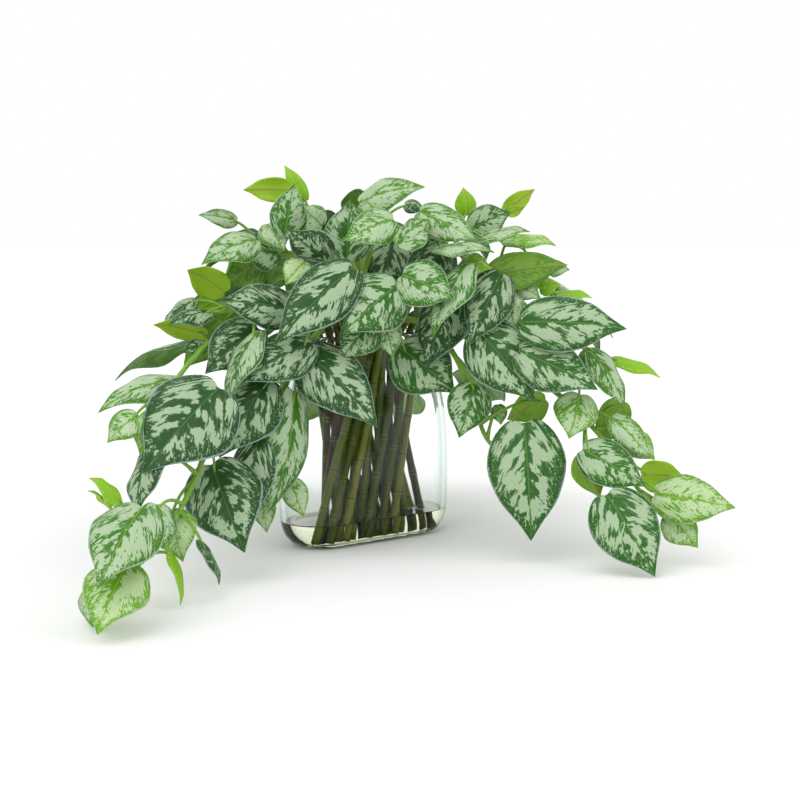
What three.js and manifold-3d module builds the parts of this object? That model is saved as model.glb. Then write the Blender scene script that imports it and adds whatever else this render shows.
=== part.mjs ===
// Scindapsus in a glass vase: cut leafy stems standing in water, in a flat oval vase of clear glass.
// Millimetres, +Z up, +X to the viewer's right, +Y away from the viewer.
// The origin is the centre of the vase's foot, on the surface that it stands on.

import * as THREE from 'three';
import { mergeVertices } from 'three/addons/utils/BufferGeometryUtils.js';
import Module from 'manifold-3d';

// Vase: each station is [height, inset of the long sides, inset of the round ends]
const VASE_LENGTH = 188;
const VASE_DEPTH = 76;
const VASE_YAW = THREE.MathUtils.degToRad(37);
const VASE_SEGMENTS = 20;
const GLASS_WALL = 5;
const FLOOR_HEIGHT = 5;
const OUTER_WALL = [
  [0, 15, 24],
  [4, 7, 12],
  [12, 2.5, 5],
  [25, 0.5, 1],
  [50, 0, 0],
  [90, 0, 0],
  [130, 1.5, 4],
  [160, 4, 12],
  [185, 7, 19],
  [204, 8, 23],
];
const FLOOR_ROUNDING = [
  [FLOOR_HEIGHT, 14, 19],
  [FLOOR_HEIGHT + 3, 9, 12.5],
  [FLOOR_HEIGHT + 10, 6.5, 8],
];

// Water
const WATER_LEVEL = 24;
const GLASS_GAP = 0.3;
const STEM_HOLE_GAP = 0.35;

// Stems: a twisted bundle, where front stems lean right and back stems lean left on their way up
const STEM_RADIUS = 4;
const STEM_END_RADIUS = 1.7;
const STEM_SIDES = 5;
const STEM_FOOT_HEIGHT = FLOOR_HEIGHT + 3;
const STEM_STRAIGHT_HEIGHT = 122;
const STEM_MOUTH_HEIGHT = 209;

// Pitches in the bundle at the stems' feet and at the vase's mouth, and how far along the vase the
// middle of each row stands there
const LAST_COLUMN = 3;
const COLUMN_PITCHES = new Map([
  [-1.5, [15, 10.5]],
  [-0.5, [15, 10.5]],
  [0.5, [20, 10.5]],
  [1.5, [15, 10.5]],
]);
const ROW_PITCHES = [10.2, 9.4];
const ROW_MIDDLES = new Map([
  [-1.5, [-24.5, 26]],
  [-0.5, [-12.5, 10]],
  [0.5, [15, -8]],
  [1.5, [25.5, -24]],
]);
const BUNDLE_SCATTERS = [0.45, 0.2];

// Leaf stalks and blades
const STALK_RADII = [1.9, 1.5, 0.4];
const STALK_SIDES = 3;
const STALK_LENGTH = 34;
const STALK_MIDDLE = 0.55;
const STALK_RISE = 0.18;
const STALK_SWEEP = 0.12;
const STALK_JOINT = 0.1;
const STALK_SAMPLES = 8;
const STALK_MISFIT_STEP = 0.1;
const STEM_FIRST_KNOT = 2;
const BLADE_THICKNESS = 0.9;
const CLEAR_THICKNESS = 2.6;
const CLEAR_STALK_EXTRA = 0.5;
const BLADE_BOW = 0.1;
const BLADE_FOLD = 0.12;
const BLADE_CURL = 0.26;
const BLADE_RIPPLE = 0.06;
const RIPPLE_TURN = 9;
const RIPPLE_STEP = 1.7;
const LARGE_BLADE_WIDTH = 62;
const SMALL_BLADE_WIDTH = 38;

// A curled blade shows narrower than it is when flat
const FLAT_WIDTH_SHARE = 1.05;

// The margin of half a blade, from the notch round the lobe to the tip, as [along, across, rib]:
// shares of the length and the width, and where on the midrib the side vein to that point starts
const LARGE_MARGIN = [
  [-0.04, 0.16, 0],
  [0.09, 0.38, 0],
  [0.34, 0.5, 0.14],
  [0.62, 0.385, 0.4],
  [0.84, 0.15, 0.72],
];
const SMALL_MARGIN = [
  [-0.03, 0.2, 0],
  [0.2, 0.48, 0.08],
  [0.56, 0.43, 0.36],
  [0.84, 0.15, 0.72],
];
const TINY_MARGIN = [
  [0.03, 0.33, 0],
  [0.38, 0.5, 0.22],
  [0.84, 0.15, 0.72],
];

// Places are given as the plant shows from the front: [across, up, front] in mm, on the upright
// plane through the foot's centre, and how far in front of that plane the point really lies
const VIEW_DISTANCE = 1600;
const VIEW_PITCH = THREE.MathUtils.degToRad(7.5);
const VIEW_ASIDE = 35;
const VIEW_ABOVE = 137;

// Which way a blade's upper face looks: [right, towards the viewer, up]
const FRONT = [0, 1, 0.35];
const LEFT = [-0.7, 0.8, 0.3];
const RIGHT = [0.7, 0.8, 0.3];
const SKY = [0, 0.5, 1];
const UNDER = [0, -1, 0.25];
const SIDEWAYS = [1, 0.25, 0.1];
const CROWN = [0, 0.8, 0.6];

// Leafy stems that show from the front: slot in the bundle [column, row], the stem's way from the
// mouth on, and its leaves as [base, tip, width, facing]
const SHOWN_STEMS = [
  {
    name: 'leafy_stem_left_trailing',
    slot: [-3, 0.5],
    way: [
      [-62, 222, 62], [-108, 196, 112], [-140, 142, 150], [-162, 78, 192],
      [-190, 18, 238], [-228, -30, 290], [-255, -64, 325],
    ],
    leaves: [
      [[-148, 147, 165], [-222, 63, 215], 78, FRONT],
      [[-153, 72, 168], [-120, -16, 208], 68, FRONT],
      [[-213, 88, 222], [-226, 22, 250], 42, LEFT],
      [[-223, 29, 318], [-268, -53, 392], 54, FRONT],
      [[-208, 32, 258], [-203, -12, 280], 36, RIGHT],
      [[-195, 25, 235], [-182, -25, 262], 38, FRONT],
      [[-195, -14, 250], [-185, -68, 274], 22, SIDEWAYS],
      [[-165, -5, 222], [-146, -48, 236], 24, SIDEWAYS],
      [[-245, 35, 290], [-276, 59, 300], 22, SKY],
      [[-252, 24, 306], [-277, 46, 330], 20, SKY],
      [[-262, -28, 315], [-272, -91, 352], 44, LEFT],
      [[-238, -28, 342], [-268, -98, 388], 50, FRONT],
    ],
  },
  {
    name: 'leafy_stem_left_upper_trailing',
    slot: [-3, 1.5],
    way: [[-82, 236, 46], [-130, 214, 78], [-172, 178, 122], [-200, 142, 172], [-216, 128, 204]],
    leaves: [
      [[-180, 157, 150], [-267, 124, 205], 46, SKY],
      [[-228, 122, 215], [-258, 94, 235], 27, FRONT],
      [[-210, 125, 205], [-225, 81, 225], 27, FRONT],
      [[-160, 192, 100], [-183, 184, 116], 16, FRONT],
      [[-160, 202, 80], [-212, 212, 110], 20, UNDER],
    ],
  },
  {
    name: 'leafy_stem_left_inner',
    slot: [-2, 0.5],
    way: [[-40, 212, 70], [-72, 168, 98], [-92, 112, 108], [-98, 62, 106], [-88, 44, 102]],
    leaves: [
      [[-97, 155, 125], [-146, 79, 150], 56, FRONT],
      [[-72, 145, 112], [-97, 24, 118], 50, RIGHT],
      [[-107, 95, 120], [-122, 9, 140], 40, FRONT],
      [[-115, 90, 130], [-125, 52, 142], 16, FRONT],
      [[-75, 57, 98], [-61, 20, 102], 24, FRONT],
      [[-103, 42, 105], [-98, 4, 115], 22, FRONT],
    ],
  },
  {
    name: 'leafy_stem_left_middle',
    slot: [-2, 1.5],
    way: [[-62, 244, 42], [-98, 236, 72], [-138, 226, 76], [-166, 226, 70]],
    leaves: [
      [[-107, 204, 120], [-137, 130, 155], 36, LEFT],
      [[-107, 209, 105], [-160, 163, 140], 50, FRONT],
      [[-133, 225, 85], [-182, 168, 110], 36, UNDER],
      [[-155, 224, 85], [-197, 210, 110], 30, SKY],
      [[-170, 237, 70], [-202, 207, 85], 26, LEFT],
      [[-73, 227, 95], [-147, 236, 130], 42, FRONT],
    ],
  },
  {
    name: 'leafy_stem_left_high',
    slot: [-1, 1.5],
    way: [[-52, 266, 12], [-88, 288, 18], [-118, 292, 24], [-134, 278, 34]],
    leaves: [
      [[-140, 245, 50], [-178, 267, 75], 32, UNDER],
      [[-140, 240, 58], [-170, 223, 80], 28, UNDER],
      [[-103, 275, 30], [-140, 252, 45], 36, UNDER],
      [[-85, 282, 28], [-125, 287, 40], 34, FRONT],
      [[-110, 297, 54], [-164, 272, 97], 36, FRONT],
      [[-129, 316, 30], [-167, 322, 50], 18, FRONT],
      [[-103, 292, 25], [-131, 305, 33], 22, FRONT],
      [[-97, 313, 45], [-81, 285, 60], 30, FRONT],
    ],
  },
  {
    name: 'leafy_stem_centre_left',
    slot: [-3, -0.5],
    way: [[-22, 232, 62], [-38, 246, 86], [-50, 232, 98], [-58, 212, 100]],
    leaves: [
      [[-13, 269, 110], [-90, 192, 140], 52, FRONT],
      [[-54, 194, 110], [-129, 153, 150], 46, FRONT],
      [[-62, 187, 105], [13, 109, 125], 58, FRONT],
      [[-60, 275, 85], [-80, 252, 100], 27, FRONT],
      [[-37, 280, 80], [-79, 309, 100], 36, LEFT],
    ],
  },
  {
    name: 'leafy_stem_crown_left',
    slot: [-1, 0.5],
    way: [[-38, 250, 16], [-46, 286, 18], [-52, 312, 20], [-58, 330, 18]],
    leaves: [
      [[-73, 347, 20], [-122, 347, 30], 24, UNDER],
      [[-60, 337, 15], [-81, 372, 10], 16, FRONT],
      [[-80, 302, 30], [-70, 354, 35], 34, FRONT],
      [[-43, 311, 35], [-65, 331, 42], 27, FRONT],
      [[-18, 278, 60], [-15, 337, 50], 46, FRONT],
    ],
  },
  {
    name: 'leafy_stem_crown_centre',
    slot: [-2, -0.5],
    way: [[-4, 246, 20], [4, 282, 32], [12, 306, 36], [18, 322, 32]],
    leaves: [
      [[33, 293, 90], [65, 317, 85], 46, SKY],
      [[28, 317, 70], [-22, 296, 95], 36, FRONT],
      [[-5, 334, 10], [60, 350, 30], 38, CROWN],
      [[40, 332, 35], [60, 327, 40], 14, FRONT],
      [[30, 302, 20], [12, 240, 44], 44, FRONT],
      [[75, 292, 30], [50, 222, 52], 46, FRONT],
    ],
  },
  {
    name: 'leafy_stem_centre_right',
    slot: [-3, -1.5],
    way: [[4, 226, 56], [14, 236, 74], [24, 232, 86], [30, 214, 84]],
    leaves: [
      [[32, 252, 105], [-23, 202, 125], 56, FRONT],
      [[7, 215, 98], [-24, 178, 108], 38, FRONT],
      [[20, 217, 92], [28, 179, 100], 25, FRONT],
      [[38, 262, 100], [90, 237, 120], 46, FRONT],
      [[35, 189, 62], [90, 144, 78], 60, FRONT],
    ],
  },
  {
    name: 'leafy_stem_crown_right',
    slot: [0, -0.5],
    way: [[34, 256, 10], [62, 284, 26], [88, 300, 36], [112, 312, 34]],
    leaves: [
      [[55, 325, 60], [113, 294, 85], 34, FRONT],
      [[70, 287, 80], [130, 284, 100], 26, SKY],
      [[97, 275, 75], [127, 268, 88], 22, FRONT],
      [[102, 322, 10], [98, 350, 8], 20, FRONT],
      [[105, 307, 35], [147, 325, 50], 36, FRONT],
      [[140, 325, 20], [170, 348, 25], 18, UNDER],
      [[143, 323, 22], [159, 330, 26], 11, UNDER],
      [[113, 297, 55], [165, 305, 75], 30, SKY],
    ],
  },
  {
    name: 'leafy_stem_right_high',
    slot: [3, -1.5],
    way: [[72, 246, 6], [108, 262, 30], [142, 262, 48], [168, 252, 52]],
    leaves: [
      [[140, 297, 50], [191, 291, 70], 30, SKY],
      [[125, 262, 70], [203, 272, 85], 36, UNDER],
      [[183, 269, 50], [205, 267, 55], 16, FRONT],
      [[175, 247, 55], [195, 253, 60], 15, FRONT],
      [[188, 241, 40], [227, 239, 50], 24, SKY],
      [[150, 253, 85], [176, 238, 95], 22, FRONT],
      [[135, 250, 78], [165, 241, 85], 20, SKY],
    ],
  },
  {
    name: 'leafy_stem_right_front',
    slot: [-2, -1.5],
    way: [[34, 226, 44], [64, 240, 66], [96, 240, 82], [118, 222, 86]],
    leaves: [
      [[103, 272, 95], [68, 199, 125], 40, LEFT],
      [[135, 262, 75], [105, 192, 95], 44, FRONT],
      [[140, 244, 90], [150, 207, 100], 27, FRONT],
      [[113, 207, 110], [170, 135, 135], 60, FRONT],
      [[88, 240, 44], [62, 168, 56], 48, FRONT],
    ],
  },
  {
    name: 'leafy_stem_right_low',
    slot: [-1, -1.5],
    way: [[50, 216, 40], [84, 190, 66], [106, 144, 82], [122, 98, 90], [142, 80, 96]],
    leaves: [
      [[110, 152, 90], [94, 99, 100], 40, FRONT],
      [[133, 132, 80], [136, 112, 82], 15, FRONT],
      [[180, 137, 75], [142, 117, 80], 30, UNDER],
      [[159, 113, 110], [166, -4, 122], 70, FRONT],
    ],
  },
  {
    name: 'leafy_stem_right_middle',
    slot: [2, -1.5],
    way: [[78, 240, 24], [118, 230, 60], [160, 210, 84], [200, 186, 88], [226, 166, 86]],
    leaves: [
      [[158, 215, 110], [262, 208, 130], 52, FRONT],
      [[155, 185, 100], [233, 147, 120], 48, FRONT],
      [[233, 185, 85], [213, 161, 95], 24, FRONT],
      [[225, 185, 95], [259, 128, 105], 38, RIGHT],
      [[247, 177, 80], [295, 159, 90], 22, SKY],
      [[215, 142, 105], [204, 98, 115], 40, FRONT],
    ],
  },
  {
    name: 'leafy_stem_right_trailing',
    slot: [1, -1.5],
    way: [
      [64, 226, 30], [112, 200, 56], [166, 164, 78], [212, 126, 92],
      [246, 88, 108], [270, 52, 122], [296, 26, 130],
    ],
    leaves: [
      [[257, 135, 95], [235, 91, 105], 32, UNDER],
      [[247, 119, 110], [286, 79, 120], 26, FRONT],
      [[263, 101, 100], [290, 77, 108], 26, FRONT],
      [[218, 87, 120], [281, 50, 138], 42, FRONT],
      [[217, 82, 112], [235, 39, 125], 30, UNDER],
      [[277, 62, 110], [320, 59, 120], 32, UNDER],
      [[290, 42, 130], [371, 29, 150], 44, FRONT],
      [[242, 42, 150], [290, -40, 178], 60, FRONT],
      [[303, 22, 125], [333, -11, 135], 32, FRONT],
    ],
  },
];

// Leafy stems at the back, in the crown and inside, which follow one rule: slot, azimuth in degrees
// from +X, reach of the stem, heights of its arch and its end, number and size of its leaves
const RULED_STEMS = [
  { slot: [3, -0.5], azimuth: 18, reach: 180, arch: 262, end: 205, leaves: 3, size: 1 },
  { slot: [2, -0.5], azimuth: 45, reach: 165, arch: 255, end: 130, leaves: 3, size: 1 },
  { slot: [2, 0.5], azimuth: 70, reach: 160, arch: 262, end: 112, leaves: 3, size: 1 },
  { slot: [2, 1.5], azimuth: 96, reach: 160, arch: 255, end: 100, leaves: 3, size: 1 },
  { slot: [1, 1.5], azimuth: 122, reach: 165, arch: 258, end: 120, leaves: 3, size: 1 },
  { slot: [0, 1.5], azimuth: 150, reach: 160, arch: 258, end: 170, leaves: 3, size: 1 },
  { slot: [1, -0.5], azimuth: 30, reach: 100, arch: 288, end: 286, leaves: 3, size: 0.72 },
  { slot: [3, 0.5], azimuth: 61, reach: 92, arch: 296, end: 288, leaves: 3, size: 0.72 },
  { slot: [3, 1.5], azimuth: 88, reach: 86, arch: 298, end: 284, leaves: 3, size: 0.72 },
  { slot: [1, 0.5], azimuth: 130, reach: 95, arch: 296, end: 288, leaves: 3, size: 0.72 },
  { slot: [0, 0.5], azimuth: 165, reach: 85, arch: 286, end: 280, leaves: 3, size: 0.72 },
  { slot: [-1, -0.5], azimuth: 75, reach: 34, arch: 290, end: 318, leaves: 3, size: 0.72 },
];
const RULED_STALK_SIDE = 22;
const RULED_STALK_OUT = 14;
const RULED_STALK_UP = [12, 22];
const RULED_BLADE_LENGTH = [92, 120];
const RULED_BLADE_RATIO = 0.58;
const RULED_OUT = 0.66;
const RULED_SIDE = [0.27, 0.72];
const RULED_DROOP = [0.33, 0.77];
const RULED_FACING = [0.6, 0.9];
const RULED_SHIFT_RISE = 0.4;
const RULED_FIRST_KNOT = 3.2;
const RULED_FIRST_LEAF = 0.6;

// A ruled stem's way: shares of its reach, how much it gathers to the middle, and its rise and fall
const RULED_REACHES = [0.12, 0.45, 0.78, 1];
const RULED_GATHERING = 0.6;
const RULED_RISE = 0.6;
const RULED_FALL = 0.45;

// A leaf that would cross a neighbour is turned about its midrib and moved nearer or further, by
// the first of these turns and shifts that leaves it clear; where none does, that leaf isn't there
const CLEARING_TURNS = [0, 12, -12, 25, -25, 40, -40];
const CLEARING_SHIFTS = [0, 6, -6, 12, -12, 18, -18, 26, -26];

const UP = new THREE.Vector3(0, 0, 1);
const SAME_PLACE = 1e-4;
const wasm = await Module();
wasm.setup();

// Solids

function toSolid(geometry) {
  const bare = geometry.clone();
  bare.deleteAttribute('normal');
  bare.deleteAttribute('uv');
  const merged = mergeVertices(bare, SAME_PLACE);
  const corners = merged.index.array;
  const kept = [];
  for (let first = 0; first < corners.length; first += 3) {
    const [a, b, c] = corners.slice(first, first + 3);
    if (a !== b && b !== c && c !== a) {
      kept.push(a, b, c);
    }
  }
  const vertProperties = new Float32Array(merged.attributes.position.array);
  const triVerts = new Uint32Array(kept);
  return new wasm.Manifold(new wasm.Mesh({ numProp: 3, vertProperties, triVerts }));
}

function toGeometry(solid) {
  const mesh = solid.getMesh();
  const geometry = new THREE.BufferGeometry();
  geometry.setAttribute('position', new THREE.BufferAttribute(mesh.vertProperties, 3));
  geometry.setIndex(new THREE.BufferAttribute(mesh.triVerts, 1));
  geometry.computeVertexNormals();
  return geometry;
}

function shadedMesh(name, geometry, material) {
  const mesh = new THREE.Mesh(geometry, new THREE.MeshStandardMaterial(material));
  mesh.name = name;
  return mesh;
}

// A piece is a solid with its box, so that only close pieces are tested against each other
function piece(geometry) {
  geometry.computeBoundingBox();
  return { solid: toSolid(geometry), box: geometry.boundingBox };
}

function crosses(first, second) {
  if (!first.box.intersectsBox(second.box)) {
    return false;
  }
  const shared = first.solid.intersect(second.solid);
  const crossing = !shared.isEmpty();
  shared.delete();
  return crossing;
}

// Vase and water: a turned profile whose halves are moved apart along the vase's length

function ovalBody(stations) {
  const profile = stations.map(([height, sideInset]) => {
    const onAxis = sideInset === null;
    return new THREE.Vector2(onAxis ? 0 : VASE_DEPTH / 2 - sideInset, height);
  });
  const geometry = new THREE.LatheGeometry(profile, VASE_SEGMENTS, Math.PI / 2);
  geometry.rotateX(Math.PI / 2);
  const position = geometry.attributes.position;
  for (let vertex = 0; vertex < position.count; vertex += 1) {
    const [, sideInset, endInset] = stations[vertex % stations.length];
    const halfStraight = (VASE_LENGTH - VASE_DEPTH) / 2 - (endInset - sideInset);
    const x = position.getX(vertex);
    if (Math.abs(x) > SAME_PLACE) {
      position.setX(vertex, x + Math.sign(x) * halfStraight);
    }
  }
  geometry.rotateZ(VASE_YAW);
  return toSolid(geometry);
}

function thinned(stations, thickness) {
  return stations.map(([height, side, end]) => [height, side + thickness, end + thickness]);
}

function insetAt(height) {
  const above = OUTER_WALL.findIndex((station) => station[0] >= height);
  const [lowHeight, lowSide, lowEnd] = OUTER_WALL[above - 1];
  const [highHeight, highSide, highEnd] = OUTER_WALL[above];
  const share = (height - lowHeight) / (highHeight - lowHeight);
  const mix = THREE.MathUtils.lerp;
  return [height, mix(lowSide, highSide, share), mix(lowEnd, highEnd, share)];
}

const innerWall = thinned(OUTER_WALL.filter(([height]) => height > FLOOR_HEIGHT + 15), GLASS_WALL);

function makeVase() {
  const stations = [
    [0, null, null],
    ...OUTER_WALL,
    ...[...innerWall].reverse(),
    ...[...FLOOR_ROUNDING].reverse(),
    [FLOOR_HEIGHT, null, null],
  ];
  return ovalBody(stations);
}

function makeWater() {
  const wetWall = innerWall.filter(([height]) => height < WATER_LEVEL);
  const surface = thinned([insetAt(WATER_LEVEL)], GLASS_WALL);
  const raisedFloor = FLOOR_ROUNDING.map(([height, side, end]) => [height + GLASS_GAP, side, end]);
  const sides = thinned([...raisedFloor, ...wetWall, ...surface], GLASS_GAP);
  return ovalBody([[FLOOR_HEIGHT + GLASS_GAP, null, null], ...sides, [WATER_LEVEL, null, null]]);
}

// Places

function placed([across, up, front]) {
  const rise = (up - VIEW_ABOVE) / VIEW_DISTANCE;
  const sine = Math.sin(VIEW_PITCH);
  const cosine = Math.cos(VIEW_PITCH);
  const height = (up + front * (sine - rise * cosine)) / (cosine + rise * sine);
  const reach = VIEW_DISTANCE - front * cosine - height * sine;
  const aside = VIEW_ASIDE + (across - VIEW_ASIDE) * reach / VIEW_DISTANCE;
  return new THREE.Vector3(aside, -front, height);
}

const eye = new THREE.Vector3(
  VIEW_ASIDE,
  -VIEW_DISTANCE * Math.cos(VIEW_PITCH) + VIEW_ABOVE * Math.sin(VIEW_PITCH),
  VIEW_DISTANCE * Math.sin(VIEW_PITCH) + VIEW_ABOVE * Math.cos(VIEW_PITCH),
);

function chance(seed) {
  const wave = Math.sin(seed * 12.9898) * 43758.5453;
  return wave - Math.floor(wave);
}

// Stems

class StemCurve extends THREE.CatmullRomCurve3 {
  constructor(points) {
    super(points, false, 'centripetal');
    this.stations = points.map((_, knot) => knot / (points.length - 1));
  }

  getUtoTmapping(share) {
    return this.stations[Math.round(share * (this.stations.length - 1))];
  }
}

function bundlePlace([column, row], height) {
  const share = (height - STEM_FOOT_HEIGHT) / (STEM_MOUTH_HEIGHT - STEM_FOOT_HEIGHT);
  const inside = 1 - Math.abs(column) / LAST_COLUMN;
  const spread = THREE.MathUtils.lerp(...BUNDLE_SCATTERS, share);
  const scatter = (chance(column * 3 + row * 7) - 0.5) * spread * inside;
  const columnPitch = THREE.MathUtils.lerp(...COLUMN_PITCHES.get(row), share);
  const rowMiddle = THREE.MathUtils.lerp(...ROW_MIDDLES.get(row), share);
  const along = (column + scatter) * columnPitch + rowMiddle;
  const across = row * THREE.MathUtils.lerp(...ROW_PITCHES, share);
  return new THREE.Vector3(along, across, height).applyAxisAngle(UP, VASE_YAW);
}

function stemCurve(slot, way) {
  const inVase = [STEM_FOOT_HEIGHT, STEM_STRAIGHT_HEIGHT, STEM_MOUTH_HEIGHT];
  const points = inVase.map((height) => bundlePlace(slot, height));
  return new StemCurve([...points, ...way]);
}

function taperedTube(curve, sides, radii) {
  const steps = radii.length - 1;
  const startRadius = radii[0];
  const section = new THREE.Shape();
  for (let side = 0; side < sides; side += 1) {
    const angle = side / sides * Math.PI * 2;
    const corner = [startRadius * Math.cos(angle), startRadius * Math.sin(angle)];
    if (side === 0) {
      section.moveTo(...corner);
    } else {
      section.lineTo(...corner);
    }
  }
  section.closePath();
  const geometry = new THREE.ExtrudeGeometry(section, { steps, extrudePath: curve });
  const centres = curve.getSpacedPoints(steps);
  const position = geometry.attributes.position;
  const corner = new THREE.Vector3();
  for (let vertex = 0; vertex < position.count; vertex += 1) {
    corner.fromBufferAttribute(position, vertex);
    let nearest = 0;
    for (let step = 1; step <= steps; step += 1) {
      if (centres[step].distanceTo(corner) < centres[nearest].distanceTo(corner)) {
        nearest = step;
      }
    }
    corner.sub(centres[nearest]).multiplyScalar(radii[nearest] / startRadius).add(centres[nearest]);
    position.setXYZ(vertex, corner.x, corner.y, corner.z);
  }
  return geometry;
}

function stemTube(curve, extraRadius = 0) {
  const narrowed = (share) => THREE.MathUtils.lerp(STEM_RADIUS, STEM_END_RADIUS, share) + extraRadius;
  return taperedTube(curve, STEM_SIDES, curve.stations.map(narrowed));
}

// Leaves

function leafShape(leaf, turn, shift) {
  const base = leaf.base.clone().addScaledVector(leaf.shiftWay, shift);
  const tip = leaf.tip.clone().addScaledVector(leaf.shiftWay, shift);
  const along = tip.clone().sub(base);
  const length = along.length();
  along.normalize();
  const normal = leaf.facing.clone().addScaledVector(along, -leaf.facing.dot(along)).normalize();
  normal.applyAxisAngle(along, THREE.MathUtils.degToRad(turn));
  const across = normal.clone().cross(along);
  return { ...leaf, base, along, across, normal, length };
}

function bladePoint(shape, along, across, lift) {
  const outward = Math.abs(across) * 2;
  const bow = BLADE_BOW * shape.length * 4 * along * (1 - along);
  const ripple = Math.sin(along * RIPPLE_TURN + shape.phase + Math.sign(across)) * BLADE_RIPPLE;
  const side = BLADE_FOLD * outward + (ripple - BLADE_CURL) * outward * outward;
  return shape.base.clone()
    .addScaledVector(shape.along, along * shape.length)
    .addScaledVector(shape.across, across * shape.width)
    .addScaledVector(shape.normal, bow + side * shape.width + lift);
}

function marginOf(width) {
  if (width >= LARGE_BLADE_WIDTH) {
    return LARGE_MARGIN;
  }
  return width >= SMALL_BLADE_WIDTH ? SMALL_MARGIN : TINY_MARGIN;
}

function bladeGeometry(shape, thickness) {
  const margin = marginOf(shape.width);
  const ribs = [0, ...new Set(margin.map(([, , rib]) => rib).filter((rib) => rib > 0)), 1];
  const flat = ribs.map((rib) => [rib, 0]);
  const edgeStart = {};
  for (const side of [-1, 1]) {
    edgeStart[side] = flat.length;
    flat.push(...margin.map(([along, across]) => [along, across * side]));
  }
  const corners = [];
  for (const lift of [thickness / 2, -thickness / 2]) {
    flat.forEach(([along, across]) => corners.push(...bladePoint(shape, along, across, lift)));
  }
  const tipCorner = ribs.length - 1;
  const triangles = [];
  const addBoth = (a, b, c) => {
    triangles.push(a, b, c, a + flat.length, c + flat.length, b + flat.length);
  };
  const addRim = (a, b) => {
    triangles.push(a, b, a + flat.length, b, b + flat.length, a + flat.length);
  };
  for (const side of [-1, 1]) {
    const face = (a, b, c) => (side > 0 ? addBoth(a, b, c) : addBoth(a, c, b));
    const rim = (a, b) => (side > 0 ? addRim(a, b) : addRim(b, a));
    const edge = margin.map((_, spot) => edgeStart[side] + spot);
    rim(0, edge[0]);
    for (let spot = 0; spot < edge.length - 1; spot += 1) {
      const rib = ribs.indexOf(margin[spot][2]);
      const nextRib = ribs.indexOf(margin[spot + 1][2]);
      face(rib, edge[spot + 1], edge[spot]);
      if (nextRib !== rib) {
        face(rib, nextRib, edge[spot + 1]);
      }
      rim(edge[spot], edge[spot + 1]);
    }
    const last = edge[edge.length - 1];
    face(tipCorner - 1, tipCorner, last);
    rim(last, tipCorner);
  }
  const geometry = new THREE.BufferGeometry();
  geometry.setAttribute('position', new THREE.Float32BufferAttribute(corners, 3));
  geometry.setIndex(triangles);
  return geometry;
}

// A stalk starts at the middle of its stem, at about a stalk's length from the blade
function stalkCurve(shape, stem) {
  const knots = stem.points;
  let best = null;
  for (let step = STEM_FIRST_KNOT * STALK_SAMPLES; step <= (knots.length - 1) * STALK_SAMPLES; step += 1) {
    const knot = Math.min(Math.floor(step / STALK_SAMPLES), knots.length - 2);
    const point = knots[knot].clone().lerp(knots[knot + 1], step / STALK_SAMPLES - knot);
    const misfit = Math.abs(point.distanceTo(shape.base) - STALK_LENGTH) + step * STALK_MISFIT_STEP;
    if (best === null || misfit < best.misfit) {
      best = { misfit, point };
    }
  }
  const end = bladePoint(shape, STALK_JOINT, 0, 0);
  const span = end.distanceTo(best.point);
  const middle = best.point.clone().lerp(end, STALK_MIDDLE);
  middle.addScaledVector(UP, span * STALK_RISE);
  middle.addScaledVector(shape.along, -span * STALK_SWEEP);
  return new THREE.QuadraticBezierCurve3(best.point, middle, end);
}

function stalkGeometry(curve, extraRadius) {
  return taperedTube(curve, STALK_SIDES, STALK_RADII.map((radius) => radius + extraRadius));
}

// What a leaf is tested with is a little thicker than the leaf, so that it ends up clear by a gap
function leafPieces(shape, stem, thickness, extraRadius) {
  return {
    blade: piece(bladeGeometry(shape, thickness)),
    stalk: piece(stalkGeometry(stalkCurve(shape, stem), extraRadius)),
  };
}

function standsClear(tested, own, plants) {
  for (const plant of plants) {
    for (const other of plant.blades) {
      if (crosses(tested.blade, other) || crosses(tested.stalk, other)) {
        return false;
      }
    }
    if (crosses(tested.blade, plant.stem)) {
      return false;
    }
    const isOther = plant !== own;
    if (isOther && crosses(tested.stalk, plant.stem)) {
      return false;
    }
    for (const other of plant.stalks) {
      if (crosses(tested.blade, other) || (isOther && crosses(tested.stalk, other))) {
        return false;
      }
    }
  }
  return true;
}

function addLeaf(leaf, plant, plants) {
  for (const turn of CLEARING_TURNS) {
    for (const shift of CLEARING_SHIFTS) {
      const shape = leafShape(leaf, turn, shift);
      const tested = leafPieces(shape, plant.curve, CLEAR_THICKNESS, CLEAR_STALK_EXTRA);
      if (standsClear(tested, plant, plants)) {
        const pieces = leafPieces(shape, plant.curve, BLADE_THICKNESS, 0);
        plant.blades.push(pieces.blade);
        plant.stalks.push(pieces.stalk);
        return;
      }
    }
  }
}

// Plants

function startPlant(name, slot, way) {
  const curve = stemCurve(slot, way);
  return { name, curve, stem: piece(stemTube(curve)), blades: [], stalks: [] };
}

function shownLeaves(stem) {
  return stem.leaves.map(([base, tip, width, [right, towards, up]], order) => {
    const tipPlace = placed(tip);
    return {
      base: placed(base),
      tip: tipPlace,
      width: width * FLAT_WIDTH_SHARE,
      facing: new THREE.Vector3(right, -towards, up),
      shiftWay: eye.clone().sub(tipPlace).normalize(),
      phase: order * RIPPLE_STEP,
    };
  });
}

function ruledWay({ slot, azimuth, reach, arch, end }) {
  const mouth = bundlePlace(slot, STEM_MOUTH_HEIGHT);
  const out = new THREE.Vector3(1, 0, 0).applyAxisAngle(UP, THREE.MathUtils.degToRad(azimuth));
  const rise = THREE.MathUtils.lerp(STEM_MOUTH_HEIGHT, arch, RULED_RISE);
  const fall = THREE.MathUtils.lerp(arch, end, RULED_FALL);
  const heights = [rise, arch, fall, end];
  return RULED_REACHES.map((share, order) => {
    const point = mouth.clone().multiplyScalar(1 - share * RULED_GATHERING);
    point.addScaledVector(out, reach * share);
    point.z = heights[order];
    return point;
  });
}

function drawn([low, high], seed) {
  return THREE.MathUtils.lerp(low, high, chance(seed));
}

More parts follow.
